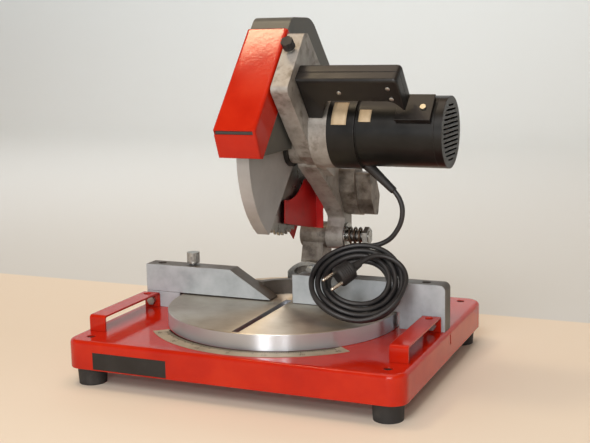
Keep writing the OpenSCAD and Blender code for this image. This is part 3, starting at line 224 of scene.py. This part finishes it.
# It is wound inwards in one layer, crosses over, and is wound outwards in a second one. The counts
# are points to a turn, up to the crossing, in the crossing and in all.
turn_n, inward_n, cross_n, all_n = 24, 72, 12, 156
turn_gap, layer_gap, wave = 8.5, 7.8, 4.0
loop = np.arange(all_n + 1)
loop_in = turn_gap / turn_n * np.minimum(np.minimum(loop, inward_n), all_n - loop)
loop_a = np.radians(90 + 360 / turn_n * loop)
loop_n = (layer_gap * (np.clip((loop - inward_n) / cross_n, 0, 1) - 0.5)
          + wave * (1 - loop_in / half_w) * np.sin(2 * loop_a))
flat_loops = np.stack([(half_w - loop_in) * np.cos(loop_a), (half_h - loop_in) * np.sin(loop_a),
                       loop_n], -1)
coil_loops = coil_mid + flat_loops @ coil_frame
plug_at = np.array([3.0, 17.7, 20.0])
plug_way = np.array([-0.77, -0.638, 0.0])
tail = [[17.4, -60.4, 5], [32.3, -54.4, 7.5], [45, -44.8, 10.5], [54.8, -32.3, 12.5],
        [60.9, -17.7, 13], [64, -2, 13], [59.6, 14.5, 13.3], [47.5, 26.6, 15], [31, 31, 17.5],
        [16.5, 27.7, 19.5], plug_at]
# The lead starts inside the strain relief and runs straight into the coil's first turn.
relief_a = math.radians(132.5)
relief_way = np.array([math.sin(relief_a), 0.0, math.cos(relief_a)])
relief_at = np.array([125.5, 10.0, 286.5])
relief_l, lead_inside, coil_straight = 49, 8, 11
relief_end = relief_at + relief_l * relief_way
lead_points = [relief_end - lead_inside * relief_way, relief_end, [168.6, 10, 243.8],
               [172.7, 10, 232.5], [173, 10, 220.5], [170.2, 10, 208.9], [164.8, 9.9, 198.3],
               [157, 9.8, 188.4], [147.2, 9.6, 181.6], [136.2, 7.8, 177.4],
               coil_loops[0] + coil_straight * coil_e]
route = np.vstack([lead_points, coil_loops, coil_mid + np.array(tail) @ coil_frame])
whole = curve(route, 6) / 1000
along = np.concatenate([[0], np.cumsum(np.linalg.norm(np.diff(whole, axis=0), axis=1))])

# Black PVC sheath: satin, with the slight waviness and dust of a lead that has been handled.
sheath, tree, shader, place = material("black_pvc_sheath", ior=1.53)
weather(tree, shader, place, tones=["#17171a", "#202022", "#2b2a29"], patch_mm=22,
        rough=(0.38, 0.55), grain_mm=1.6, depth_mm=0.05, edge_mm=0.6)

lead_stops = np.array([0.0, 0.045, 0.09, 0.135])
marks = np.searchsorted(along, lead_stops)
for i, (a, b) in enumerate([("head", "tilt"), ("tilt", "turntable"), ("turntable", "base")]):
    run = whole[marks[i]:marks[i + 1] + 1]
    lead = surface(f"lead_{i + 1}", tube(run, cord_d / 2000, 20, coil_n))
    dress(sheath, lead)
    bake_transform(lead)
    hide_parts("cord_lead")
coil_run = whole[marks[3]:]
coil = surface("coil", tube(coil_run, cord_d / 2000, 16, coil_n))
dress(sheath, coil)
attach(coil, "base")
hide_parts("cord_coil")


# Plug: a round moulded plug of hard black rubber with grip rings and a sleeve that tapers onto the
# cord. Its two turned pins are nickel-plated brass.
def turned(at, way, lean, profile, sides):
    """A turned form: each [distance, radius] of the profile becomes the ring
    at + distance way + radius (cos a N + sin a B), with N and B square to way."""
    profile = np.asarray(profile, float)
    n = unit(lean - (lean @ way) * way)
    b = np.cross(way, n)
    a = np.linspace(0, 2 * np.pi, sides, endpoint=False)[None, :, None]
    ring = np.cos(a) * n + np.sin(a) * b
    return at + profile[:, :1, None] * way + profile[:, 1:, None] * ring


plug_l, ring_gap, ring_depth, pin_off = 38, 3.2, 0.5, 9.5
plug_from = (coil_mid + plug_at @ coil_frame) / 1000
plug_dir = unit(plug_way @ coil_frame)
plug_side = np.cross(coil_n, plug_dir)
plug_s = np.linspace(0, 1, 61)
body_r = np.interp(plug_s, [0, 0.06, 0.3, 0.42, 0.9, 0.97, 1.0],
                   [4.6, 5.2, 6.4, 13.6, 14.5, 14.0, 12.4])
ringed = np.sin(plug_s * plug_l * 2 * np.pi / ring_gap) > 0.55
body_r -= ring_depth * (ringed & (plug_s > 0.46) & (plug_s < 0.86))
plug_profile = np.stack([plug_s * plug_l, body_r], -1) / 1000
plug = surface("plug_body", turned(plug_from, plug_dir, coil_n, plug_profile, 48), sharp=30)
pin_profile = np.array([[37.5, 2.4], [54.0, 2.4], [56.2, 1.9], [57.0, 0.9]]) / 1000
pins = surface("plug_pins", *(turned(plug_from + side * pin_off / 1000 * plug_side, plug_dir, coil_n,
                                     pin_profile, 24) for side in (-1, 1)))
# Moulded rubber: deep black, nearly matt, with a fine spark-eroded texture.
moulded_rubber, tree, shader, place = material("moulded_rubber", ior=1.52)
weather(tree, shader, place, tones=["#141415", "#1d1c1c", "#262423"], patch_mm=18,
        rough=(0.5, 0.66), grain_mm=0.8, depth_mm=0.05, edge_mm=0.8, worn="#3a3836", wear=0.5)
# Nickel plate: pale warm metal, polished by the socket's springs.
nickel_plate, tree, shader, place = material("nickel_plate", metallic=1.0)
weather(tree, shader, place, tones=["#b9b2a4", "#c9c4b8"], patch_mm=6,
        rough=(0.22, 0.34), grain_mm=0.7, depth_mm=0.01, edge_mm=0.4)
dress(moulded_rubber, plug)
dress(nickel_plate, pins)
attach(plug, "base")
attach(pins, "base")
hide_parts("plug")

# Strain relief: a tapered sleeve of the plug's rubber, moulded round the lead and held in the
# underside of the motor's shell.
relief_profile = np.array([[-9, 7.5], [2, 7.5], [3, 7.1], [44, 5.3], [47.6, 5.1], [48.8, 4.5],
                           [49.2, 3.6]]) / 1000
relief = surface("relief_sleeve", turned(relief_at / 1000, relief_way, coil_n, relief_profile, 32))
dress(moulded_rubber, relief)
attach(relief, "head")
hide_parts("strain_relief")

# Base: a tray pressed from 2 mm steel sheet with a bent top edge and round corners, stove enamelled
# red, on four black rubber feet that the bench bolts pass through.
# Stove enamel: thick gloss with a faint orange peel, darker where dust has settled, rubbed through
# at the edges.
red_enamel, tree, shader, place = material("red_enamel", ior=1.45, specular_ior_level=0.36)
weather(tree, shader, place, tones=["#aa1b09", "#b3200b", "#bb270e"], patch_mm=60,
        rough=(0.08, 0.12), grain_mm=5.0, depth_mm=0.08, edge_mm=1.4, worn="#7a3a2c", wear=0.35)
dress(red_enamel, "tray")
# Black rubber of the feet: dull, greyed by dust on its top edges.
foot_rubber, tree, shader, place = material("foot_rubber", ior=1.52)
weather(tree, shader, place, tones=["#1b1a1a", "#242221", "#353230"], patch_mm=14,
        rough=(0.62, 0.8), grain_mm=1.2, depth_mm=0.06, edge_mm=1.5, worn="#5a544e", wear=0.6)
dress(foot_rubber, "feet")

# Front plate: a bare strip of thin aluminium, lacquered black and let into the tray's front wall
# near its left end.
# Black lacquer: smooth and half glossy, with a grey rub at its edges.
black_lacquer, tree, shader, place = material("black_lacquer", ior=1.5)
weather(tree, shader, place, tones=["#100f10", "#181718", "#211f1f"], patch_mm=30,
        rough=(0.3, 0.45), grain_mm=1.0, depth_mm=0.01, edge_mm=0.4, worn="#4a4643", wear=0.5)
dress(black_lacquer, "name_plate")

# Mitre scale: a band of aluminium sheet fixed to the tray in front of the table. Its etched marks
# lie just proud of it here: one tick to a degree, longer at each five and ten, and the plain angles
# at each fifteen. A black band along the table's edge is painted shadow: the shade of the gap under
# the table's rim, drawn in the marks' ink.
# Etched aluminium: pale and warm, with a dull silvery sheen.
etched_sheet, tree, shader, place = material("etched_sheet", metallic=0.35)
weather(tree, shader, place, tones=["#9a8f7c", "#aaa08c", "#b8af9c"], patch_mm=25,
        rough=(0.42, 0.58), grain_mm=0.9, depth_mm=0.01, edge_mm=0.3)
dress(etched_sheet, "scale_plate")
mark_z, tick_from, tick_half = 64.83, 169.0, 0.75
# The broad black band along the table's edge is painted shadow: the shade in the gap under the
# table's rim.
gap_shadow_in, gap_shadow_out, gap_shadow_reach = 168.4, 170.9, 48
number_r, number_h = 0.1858, 0.0085
degrees = np.arange(-45, 46)
tick_l = np.select([degrees % 10 == 0, degrees % 5 == 0], [11.0, 9.5], 8.0)
tick_a = np.radians(degrees)[:, None, None]
tick_r = tick_from + tick_l[:, None, None] * np.array([0.0, 1.0])[None, :, None]
tick_w = tick_half * np.array([-1.0, 1.0])[None, None, :]
tick_x = tick_r * np.sin(tick_a) - tick_w * np.cos(tick_a)
tick_y = -tick_r * np.cos(tick_a) - tick_w * np.sin(tick_a)
ticks = np.stack(np.broadcast_arrays(tick_x, tick_y, mark_z), -1) / 1000
# Painted shadow: a black band along the table's edge, where the gap under the rim lies in shade.
gap_shadow_a = np.radians(np.linspace(-gap_shadow_reach, gap_shadow_reach, 2 * gap_shadow_reach + 1))[:, None]
gap_shadow_r = np.array([gap_shadow_out, gap_shadow_in])[None, :]
gap_shadow_x, gap_shadow_y = gap_shadow_r * np.sin(gap_shadow_a), -gap_shadow_r * np.cos(gap_shadow_a)
gap_shadow = np.stack(np.broadcast_arrays(gap_shadow_x, gap_shadow_y, mark_z), -1) / 1000
marks_and_gap_shadow = surface("marks_and_gap_shadow", *ticks, gap_shadow, ring=False)
numbers = []
for degree in range(-45, 46, 15):
    letters = bpy.data.curves.new("angle", "FONT")
    letters.body, letters.size = str(abs(degree)), number_h
    letters.align_x = letters.align_y = "CENTER"
    drawn = bpy.data.objects.new("angle", letters)
    bpy.context.scene.collection.objects.link(drawn)
    bpy.context.view_layer.update()
    shaped = drawn.evaluated_get(bpy.context.evaluated_depsgraph_get())
    flat = bpy.data.meshes.new_from_object(shaped)
    bpy.data.objects.remove(drawn)
    turn = math.radians(degree)
    spot = Matrix.Rotation(turn, 4, "Z")
    spot.translation = (number_r * math.sin(turn), -number_r * math.cos(turn), mark_z / 1000)
    flat.transform(spot)
    number = bpy.data.objects.new(f"scale_number_{degree + 45}", flat)
    bpy.context.scene.collection.objects.link(number)
    numbers.append(number)
# Etching ink: dead black, thinned in patches by wiping. It also draws the painted shadow band along
# the table's edge.
ink_and_gap_shadow, tree, shader, place = material("ink_and_gap_shadow", ior=1.5, specular_ior_level=0.1)
weather(tree, shader, place, tones=["#0c0b0a", "#1c1a18"], patch_mm=12,
        rough=(0.5, 0.7), grain_mm=0.8, depth_mm=0.01, edge_mm=0.2)
dress(ink_and_gap_shadow, marks_and_gap_shadow, *numbers)
for piece in (marks_and_gap_shadow, *numbers):
    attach(piece, "base")

# Side rails: steel strip bent to a low bridge on each side of the table, in the base's red enamel.
# Each stands on the tray and is bolted to the fence at its back end.
dress(red_enamel, "left_rail", "right_rail")
# Zinc-plated steel of the fasteners: grey with a blue cast, dulled by handling.
zinc_plate, tree, shader, place = material("zinc_plate", metallic=1.0)
weather(tree, shader, place, tones=["#8f9091", "#a5a7a6", "#b8b9b4"], patch_mm=5,
        rough=(0.3, 0.46), grain_mm=0.6, depth_mm=0.02, edge_mm=0.5, worn="#d0d0c8", wear=0.5)
dress(zinc_plate, "rail_bolts")

# Fence: an aluminium casting machined on its face and sprayed pale blue grey, bolted down through
# the tray. Its left half slides on a tongue and is held by a knurled steel thumbscrew.
# Sprayed casting: cool pale grey on the face, and brown-grey sandy metal from about a millimetre
# behind it, on the tops, the ends and the bridge. On the tops that is the raw casting; on the ends
# and the bridge the dark brown is painted shade, where they lie in shadow.
paint_ends = {"From Min": 0.0008, "From Max": 0.0014}
crust_mm = 14
fence_paint, tree, shader, place = material("fence_paint", ior=1.5)
colour = weather(tree, shader, place, tones=["#929a9f", "#a3abb0", "#afb6bb"], patch_mm=35,
                 rough=(0.34, 0.5), grain_mm=1.4, depth_mm=0.03, edge_mm=1.2,
                 worn="#74614f", wear=0.8)
# From a millimetre behind the face all goes dark brown: raw casting on the tops, painted shade on
# the ends and the bridge.
behind = add(tree, "SeparateXYZ", {}, {0: place})
raw_and_shaded_back = add(tree, "MapRange", paint_ends, {"Value": behind.outputs["Y"]})
crust = add(tree, "TexNoise", {"Scale": 1000 / crust_mm, "Detail": 6.0, "Roughness": 0.65},
            {"Vector": place})
crust_and_painted_shade = add(tree, "MixRGB", {1: linear("#2a2521"), 2: linear("#5a524a")}, {0: crust.outputs[0]})
skin = add(tree, "MixRGB", {}, {0: raw_and_shaded_back.outputs[0], 1: colour, 2: crust_and_painted_shade.outputs[0]})
tree.links.new(skin.outputs[0], shader.inputs["Base Color"])
dress(fence_paint, "fence", "sliding_fence")
dress(zinc_plate, "fence_screw", "fence_bolts")

# Turntable: a cast aluminium disc, its top and rim turned on a lathe, with the saw slot milled
# across it. A steel disc and a screw hold it under the tray.
# Turned aluminium: warm pale metal, dulled and smudged on top, and bright on the rim, where the
# tool marks run round and draw the lights out into upright streaks.
top_begins = {"From Min": 0.0854, "From Max": 0.0862}
turned_aluminium, tree, shader, place = material("turned_aluminium", metallic=0.9,
                                                anisotropic=0.95, anisotropic_rotation=0.25)
colour = weather(tree, shader, place, tones=["#b6ac9d", "#c9c1b3", "#d6d0c5"], patch_mm=55,
                 rough=(0.32, 0.44), grain_mm=1.1, depth_mm=0.01, edge_mm=0.8,
                 worn="#d6d6d4", wear=0.6)
height = add(tree, "SeparateXYZ", {}, {0: place})
top = add(tree, "MapRange", top_begins, {"Value": height.outputs["Z"]})
metal = add(tree, "MixRGB", {1: linear("#cccfd4")}, {0: top.outputs[0], 2: colour})
tree.links.new(metal.outputs[0], shader.inputs["Base Color"])
polish = add(tree, "MapRange", {**top_begins, "To Min": 0.32, "To Max": 0.4},
             {"Value": height.outputs["Z"]})
tree.links.new(polish.outputs[0], shader.inputs["Roughness"])
axis = add(tree, "Tangent", {"direction_type": "RADIAL", "axis": "Z"}, {})
tree.links.new(axis.outputs[0], shader.inputs["Tangent"])
dress(turned_aluminium, "table")
dress(zinc_plate, "table_retainer", "retainer_screw")

# Column and arm: aluminium castings. The column carries the pivot barrel and tilts on a plated
# steel quadrant that is bolted to the table; the arm swings on the pivot and holds the motor's
# flange, the spring's housing and a clamp knob moulded in the plug's rubber.
# Raw casting: mottled warm grey with a sandy skin and grease in its hollows.
raw_casting, tree, shader, place = material("raw_casting", metallic=0.35)
weather(tree, shader, place, tones=["#88847e", "#9c9892", "#adaaa5"], patch_mm=22,
        rough=(0.42, 0.58), grain_mm=1.6, depth_mm=0.06, edge_mm=1.5, worn="#c4bfb8", wear=0.6,
        speck="#54493c", speck_mm=16)
dress(raw_casting, "arm", "motor_flange")
# Greasy casting: the same metal lower down, darkened by grease and sawdust.
greasy_casting, tree, shader, place = material("greasy_casting", metallic=0.35)
weather(tree, shader, place, tones=["#4a423c", "#6f6860", "#8d877f"], patch_mm=20,
        rough=(0.36, 0.56), grain_mm=1.8, depth_mm=0.1, edge_mm=1.5, worn="#b4aea6", wear=0.6,
        speck="#2c2620", speck_mm=14)
dress(greasy_casting, "column", "spring_housing", "bevel_pin")
dress(zinc_plate, "quadrant", "quadrant_bolts", "bevel_bolt", "arm_bolts", "knob_stud")
dress(moulded_rubber, "knob")

# Pivot: a ground steel shaft through the column's barrel, with a bright washer and a plated nut,
# and the return spring wound round it in three turns of wire.
# Ground steel: bright and close-grained, with a clear highlight.
ground_steel, tree, shader, place = material("ground_steel", metallic=1.0)
weather(tree, shader, place, tones=["#8d8c88", "#a7a6a2", "#b5b4b0"], patch_mm=9,
        rough=(0.22, 0.36), grain_mm=0.5, depth_mm=0.01, edge_mm=0.4, worn="#d8d7d2", wear=0.5)
dress(ground_steel, "pivot_shaft", "pivot_washer")
dress(zinc_plate, "pivot_nut")
# Spring wire: drawn steel, browned by grease and dust.
spring_wire, tree, shader, place = material("spring_wire", metallic=0.8)
weather(tree, shader, place, tones=["#3c3129", "#55473b", "#6b5d4f"], patch_mm=6,
        rough=(0.34, 0.5), grain_mm=0.8, depth_mm=0.03, edge_mm=0.4)
pivot_y, pivot_z = 136, 163
spring_from, spring_to, spring_r, wire_r, turns_n = 48.3, 75, 12.6, 1.6, 3
turns = np.linspace(0, turns_n, turns_n * 36 + 1)
wire_x = spring_from + wire_r + turns * (spring_to - spring_from - 2 * wire_r) / turns_n
wire = np.stack([wire_x, pivot_y + spring_r * np.cos(2 * np.pi * turns),
                 pivot_z + spring_r * np.sin(2 * np.pi * turns)], -1) / 1000
spring = surface("return_spring_wire", tube(wire, wire_r / 1000, 16, np.array([1.0, 0.0, 0.0])))
dress(spring_wire, spring)
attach(spring, "head")
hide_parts("return_spring")


# Motor: an induction motor in a painted shell with a wide ring at its flange, a slotted fan cover
# and a moulded terminal box. Two bare plates of thin sheet are fixed round it: one on the wide ring
# and a small one on the shell.
def patch(x, radius, angles):
    """A sheet bent round the motor: x along it and radius (-cos a, sin a) about its axis, as far as
    angles."""
    x = np.linspace(*x, 5)[None, :]
    a = np.radians(np.linspace(*angles, 17))[:, None]
    y, z = motor_axis[0] - radius * np.cos(a), motor_axis[1] + radius * np.sin(a)
    return np.stack(np.broadcast_arrays(x, y, z), -1) / 1000


motor_axis = np.array([10, 335])
# Machine paint: deep black, with a half gloss that draws a soft light along the shell.
motor_paint, tree, shader, place = material("motor_paint", ior=1.45, specular_ior_level=0.35)
weather(tree, shader, place, tones=["#0c0c0b", "#131312", "#1b1a18"], patch_mm=40,
        rough=(0.28, 0.4), grain_mm=1.8, depth_mm=0.02, edge_mm=1.5, worn="#4a443e", wear=0.4)
dress(motor_paint, "motor_housing", "end_shield", "fan_cover")
ring_plate = surface("motor_plate", patch((90, 111), 52.05, (13, 50)), ring=False)
shell_plate = surface("motor_plate_small", patch((126.6, 143.4), 48.05, (19, 40)), ring=False)
for plate in (ring_plate, shell_plate):
    thick = plate.modifiers.new("thickness", "SOLIDIFY")
    thick.thickness, thick.offset = 0.0004, 1.0
    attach(plate, "head")
# Beige lacquer on the plates: warm cream with a dull skin.
beige_lacquer, tree, shader, place = material("beige_lacquer", ior=1.48)
weather(tree, shader, place, tones=["#b7a384", "#c6b394"], patch_mm=9,
        rough=(0.4, 0.55), grain_mm=0.9, depth_mm=0.01, edge_mm=0.3)
dress(beige_lacquer, ring_plate, shell_plate)
# Moulded plastic: black with a brown cast and a dull skin.
black_plastic, tree, shader, place = material("black_plastic", ior=1.49, specular_ior_level=0.42)
weather(tree, shader, place, tones=["#0d0d0c", "#131212", "#1a1918"], patch_mm=25,
        rough=(0.3, 0.44), grain_mm=1.0, depth_mm=0.02, edge_mm=1.4, worn="#4a443e", wear=0.3)
dress(black_plastic, "terminal_box", "terminal_lid", "fan")
# Brass of the lid's screw: pale yellow under worn nickel.
brass, tree, shader, place = material("brass", metallic=1.0)
weather(tree, shader, place, tones=["#b5ae98", "#cdc7b6"], patch_mm=4,
        rough=(0.28, 0.42), grain_mm=0.5, depth_mm=0.02, edge_mm=0.3)
dress(brass, "lid_screw")
# Enamelled copper of the windings: dark red-brown, hidden in the shell.
winding, tree, shader, place = material("enamelled_copper", metallic=0.8)
weather(tree, shader, place, tones=["#5b2f1c", "#7a4226"], patch_mm=4,
        rough=(0.3, 0.45), grain_mm=0.8, depth_mm=0.1, edge_mm=0.3)
dress(winding, "stator", "rotor")


# Handle: two moulded halves of the motor's black plastic with rounded edges and a parting groove,
# screwed together from the front and bolted to the arm. Its leg is hollowed to sit round the
# motor's flange.
def rounded(points, radii, steps):
    """A closed outline whose corners are parabolas: with p a corner and e, f the points at a radius
    from it on its two sides, (1 - t)(1 - t) e + 2 t (1 - t) p + t t f. A corner of no radius stays
    one point."""
    p = np.asarray(points, float)[:, None]
    r = np.asarray(radii, float)[:, None, None]
    e = p + r * unit(np.roll(p, 1, 0) - p)
    f = p + r * unit(np.roll(p, -1, 0) - p)
    t = np.linspace(0, 1, steps)[None, :, None]
    run = ((1 - t) ** 2 * e + 2 * t * (1 - t) * p + t ** 2 * f).reshape(-1, 2)
    return run[np.linalg.norm(run - np.roll(run, 1, 0), axis=1) > 1e-6]


def inset(outline, depth):
    """The outline's points moved inwards by their depths, along the mean of the normals beside
    each."""
    ahead = unit(np.roll(outline, -1, 0) - outline)
    mean = unit(ahead + np.roll(ahead, 1, 0))
    stretch = 1 / np.maximum((mean * ahead).sum(-1, keepdims=True), 0.5)
    return outline + depth * stretch * np.stack([-mean[:, 1], mean[:, 0]], -1)


# The outline is [across, down] in the handle's front plane, which leans back: u runs down it and v
# through its thickness, both as [y, z].
grip_at = np.array([-85.0, 407.0])
grip_u, grip_v = np.array([0.663, -0.749]), np.array([0.749, 0.663])
grip_d, grip_round, leg_round, flange_room = 31, 4.5, 1.5, 53.5
groove_t, groove_in = [15.1, 15.2, 15.8, 15.9], [0, 0.3, 0.3, 0]
face_in = 1.2
grip_rim = rounded([[57, 0], [195, 0], [195, 55], [181, 38], [91, 38], [78, 75], [57, 75]],
                   [0, 7, 0, 8, 8, 0, 0], 9)
edge = np.radians(np.linspace(0, 90, 8))
grip_t = np.concatenate([[0], grip_round - grip_round * np.sin(edge[::-1]), groove_t,
                         grip_d - grip_round + grip_round * np.sin(edge), [grip_d]])
grip_in = np.concatenate([[face_in], 1 - np.cos(edge[::-1]), groove_in, 1 - np.cos(edge),
                          [face_in]])
edge_r = np.interp(grip_rim[:, 1], [0, 9], [grip_round, leg_round])[:, None]
grip_xu = np.stack([inset(grip_rim, share * edge_r) for share in grip_in])
# Each layer's leg stops where its line down the plane meets the circle of the flange.
leg = grip_at + grip_t[:, None] * grip_v - motor_axis
reach = leg @ grip_u
clear = reach ** 2 - (leg ** 2).sum(-1) + flange_room ** 2
stop = np.where(clear > 0, -reach - np.sqrt(np.maximum(clear, 0)), np.inf)
grip_down = np.minimum(grip_xu[..., 1], stop[:, None])[..., None]
grip_yz = grip_at + grip_down * grip_u + grip_t[:, None, None] * grip_v
grip_grid = np.concatenate([grip_xu[..., :1], grip_yz], -1)[::-1] / 1000
handle = surface("handle_shell", grip_grid, sharp=50)
head_profile = np.array([[-1.5, 3.2], [0.3, 3.2], [0.8, 2.6], [1.0, 1.5], [1.05, 0.3]]) / 1000
head_at = np.array([[113, 22.5], [180, 15.5], [181.5, 33.5]])
head_at = np.concatenate([head_at[:, :1], grip_at + head_at[:, 1:] * grip_u], -1) / 1000
head_way = np.array([0.0, *-grip_v])
heads = surface("handle_screw_heads", *(turned(at, head_way, np.array([1.0, 0.0, 0.0]), head_profile,
                                               24) for at in head_at))
dress(black_plastic, handle, "switch", "trigger")
dress(zinc_plate, heads)
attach(handle, "head")
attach(heads, "head")
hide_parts("handle_front", "handle_back")
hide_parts("handle_screws")

# Hood: pressed steel sheet over the blade's upper half, sprayed grey and held to the arm on plated
# spacers.
# Machine grey paint: a warm grey, half matt, with a pale warm brown mixed in along its edges.
grey_paint, tree, shader, place = material("grey_paint", ior=1.45, specular_ior_level=0.4)
weather(tree, shader, place, tones=["#474845", "#52534f", "#5d5c56"], patch_mm=50,
        rough=(0.34, 0.46), grain_mm=1.8, depth_mm=0.03, edge_mm=1.2, worn="#8f7d60", wear=0.6)
dress(grey_paint, "hood")
dress(zinc_plate, "hood_spacers")

# Front cover: a channel folded from 1.6 mm sheet over the hood's front, with round bends and a slot
# below its fold, in the base's red enamel. Plated screws hold it to the hood.
sheet_t, half_across, bend_r = 0.0016, 30, 4
fold_s, flap_s = [0, 1, 2], [0, 0.8, 1, 2]
# Down the cover, s is 0 at the top, 1 at the fold and 2 at the foot. Rows stand close together at
# the free edges and at the slot, so that the flats stay flat in the light.
rim_s = np.concatenate([[0, 0.004], np.linspace(0.07, 0.91, 13), [0.994, 1.0, 1.16, 1.172],
                        np.linspace(1.3, 1.8, 4), [1.99, 2]])
slot_row, slot_columns = 16, slice(10, -3)
rim = np.stack([np.interp(rim_s, fold_s, [-40, -152, -137]),
                np.interp(rim_s, fold_s, [474, 347, 310])], -1)
flap = np.stack([np.interp(rim_s, flap_s, [-16, -78, -103, -128]),
                 np.interp(rim_s, flap_s, [450, 364, 336.5, 309])], -1)
# Across it, each side runs from the flap's free edge up to the bend and over to the middle: its
# place across, its depth behind the front, and the share of the flap's depth that it may reach.
bend = np.radians(np.linspace(0, 90, 8))
side_x = np.concatenate([np.full(4, half_across), half_across - bend_r + bend_r * np.cos(bend),
                         [25.4, 0]])
side_d = np.concatenate([[np.inf, np.inf, 20, 4.6], bend_r - bend_r * np.sin(bend), [0, 0]])
side_f = np.concatenate([[1, 0.985], np.full(12, 0.9)])
cover_x, cover_d, cover_f = (np.concatenate([side, sign * side[-2::-1]])
                             for side, sign in ((side_x, -1), (side_d, 1), (side_f, 1)))
depth = np.minimum(cover_d, cover_f * np.linalg.norm(flap - rim, axis=1)[:, None])
cover_yz = rim[:, None] + depth[..., None] * unit(flap - rim)[:, None]
cover_xs = np.broadcast_to(cover_x[None, :, None], depth.shape + (1,))
cover_grid = np.concatenate([cover_xs, cover_yz], -1) / 1000
whole_face = np.ones((len(rim_s) - 1, len(cover_x) - 1), bool)
whole_face[slot_row, slot_columns] = False
cover = surface("cover_sheet", cover_grid, ring=False, kept=whole_face)
thick = cover.modifiers.new("sheet", "SOLIDIFY")
thick.thickness, thick.offset = sheet_t, -1.0
dress(red_enamel, cover)
dress(zinc_plate, "cover_screws")
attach(cover, "head")
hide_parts("front_cover")

# Rear guard: a channel of thin steel sheet round the back of the blade, sprayed a deeper red, with
# a tab on the arm. Plated screws hold it and the hood to the arm.
# Deep red paint: a thin sprayed coat, less glossy than the base's enamel.
deep_red, tree, shader, place = material("deep_red_paint", ior=1.5, specular_ior_level=0.28)
weather(tree, shader, place, tones=["#9c1414", "#ac1a19", "#b82120"], patch_mm=30,
        rough=(0.3, 0.42), grain_mm=1.6, depth_mm=0.03, edge_mm=0.9, worn="#7a5a50", wear=0.5)
dress(deep_red, "rear_guard")
dress(zinc_plate, "guard_screws")

# Swinging guard: bare aluminium sheet over the blade's lower half, on a black moulded hub that
# turns about the spindle.
# Bare aluminium sheet: an even pale grey with a soft dull sheen.
guard_sheet, tree, shader, place = material("guard_sheet", metallic=0.3)
weather(tree, shader, place, tones=["#949392", "#9f9e9d", "#a9a8a7"], patch_mm=60,
        rough=(0.38, 0.5), grain_mm=1.2, depth_mm=0.01, edge_mm=0.8, worn="#cfccc8", wear=0.5)
dress(guard_sheet, "lower_guard")
dress(black_plastic, "guard_hub")

# Blade: a toothed steel disc clamped between two ground flanges by a plated nut, on a ground
# spindle that runs in plain bearing rings.
# Blade steel: clean grey metal with a low shine.
blade_steel, tree, shader, place = material("blade_steel", metallic=1.0)
weather(tree, shader, place, tones=["#8a8985", "#a3a29e"], patch_mm=12,
        rough=(0.25, 0.38), grain_mm=0.6, depth_mm=0.01, edge_mm=0.3)
dress(blade_steel, "blade")
dress(ground_steel, "spindle", "flanges", "spindle_bearings")
dress(zinc_plate, "arbor_nut")

# Floor and light: a pale bench top, and behind it a plain wall that is drawn as one sweep with it.
# A wide soft key stands in front, with small lamps above, beside the camera and low down for the
# lights on the cover and the rim, and wide ones over the saw and on the wall.
sweep_y, sweep_r, wall_tops = 3.2, 1.2, [2.5, 4.0]
sweep = np.linspace(0, np.pi / 2, 14)
floor_x = np.linspace(-5.0, 5.0, 30)
floor_y = np.concatenate([np.linspace(-4.0, sweep_y, 40), sweep_y + sweep_r * np.sin(sweep)[1:],
                          [sweep_y + sweep_r] * 2])
floor_z = np.concatenate([np.zeros(40), sweep_r - sweep_r * np.cos(sweep)[1:], wall_tops])
floor_grid = np.broadcast_arrays(floor_x[None, :], floor_y[:, None], floor_z[:, None])
floor = surface("floor", np.stack(floor_grid, -1), ring=False)
# Painted bench and wall: matt and plain, warm in front and cool behind.
bench_top, tree, shader, place = material("bench_top", roughness=0.7)
split = add(tree, "SeparateXYZ", {}, {0: place})
back = add(tree, "MapRange", {"From Min": 0.345, "From Max": 0.352}, {"Value": split.outputs["Y"]})
far = add(tree, "MapRange", {"From Min": 0.35, "From Max": sweep_y}, {"Value": split.outputs["Y"]})
wall = add(tree, "MixRGB", {1: linear("#ced4d6"), 2: linear("#e6eef0")}, {0: far.outputs[0]})
tone = add(tree, "MixRGB", {1: linear("#e5dccd")}, {0: back.outputs[0], 2: wall.outputs[0]})
tree.links.new(tone.outputs[0], shader.inputs["Base Color"])
dress(bench_top, floor)

bpy.context.scene.view_settings.view_transform = "Standard"
world = bpy.data.worlds.new("studio")
bpy.context.scene.world = world
world.use_nodes = True
tree = world.node_tree
sky = tree.nodes["Background"]
around = add(tree, "TexCoord", {}, {}).outputs["Generated"]
way = add(tree, "SeparateXYZ", {}, {0: around})
high = add(tree, "MapRange", {"From Min": 0.25, "From Max": 0.6}, {"Value": way.outputs["Z"]})
glow = add(tree, "MixRGB", {1: linear("#eef0f2"), 2: linear("#a8835c")}, {0: high.outputs[0]})
tree.links.new(glow.outputs[0], sky.inputs["Color"])
sky.inputs["Strength"].default_value = 0.72


def lamp(name, at, target, size, watts, code):
    """A square area light at a point, turned to a target."""
    made = bpy.data.objects.new(name, bpy.data.lights.new(name, "AREA"))
    made.data.size, made.data.energy, made.data.color = size, watts, linear(code)[:3]
    back = unit(np.subtract(at, target).astype(float))
    right = unit(np.cross([0, 0, 1], back))
    turn = np.eye(4)
    turn[:3, :3] = np.stack([right, np.cross(back, right), back], axis=1)
    turn[:3, 3] = at
    made.matrix_world = Matrix(turn.tolist())
    bpy.context.scene.collection.objects.link(made)


lamp("key", (0.25, -2.4, 2.2), (0, 0, 0.2), size=1.2, watts=42, code="#fdfaf8")
lamp("window", (-0.71, -0.13, 2.0), (0, 0, 0.4), size=0.26, watts=6, code="#ffe6bc")
lamp("flash", (0.585, -1.37, 0.6), (0, 0, 0.1), size=0.05, watts=2.5, code="#ffffff")
lamp("low_lamp", (0.165, -2.16, 0.5), (0, 0, 0.1), size=0.38, watts=8, code="#ffffff")
lamp("ceiling", (0.0, 0.3, 2.9), (0.0, 0.2, 0.0), size=2.0, watts=24, code="#ffeede")
lamp("backdrop", (-1.5, 1.2, 2.6), (-1.7, 4.2, 1.1), size=2.4, watts=56, code="#fbf9f8")
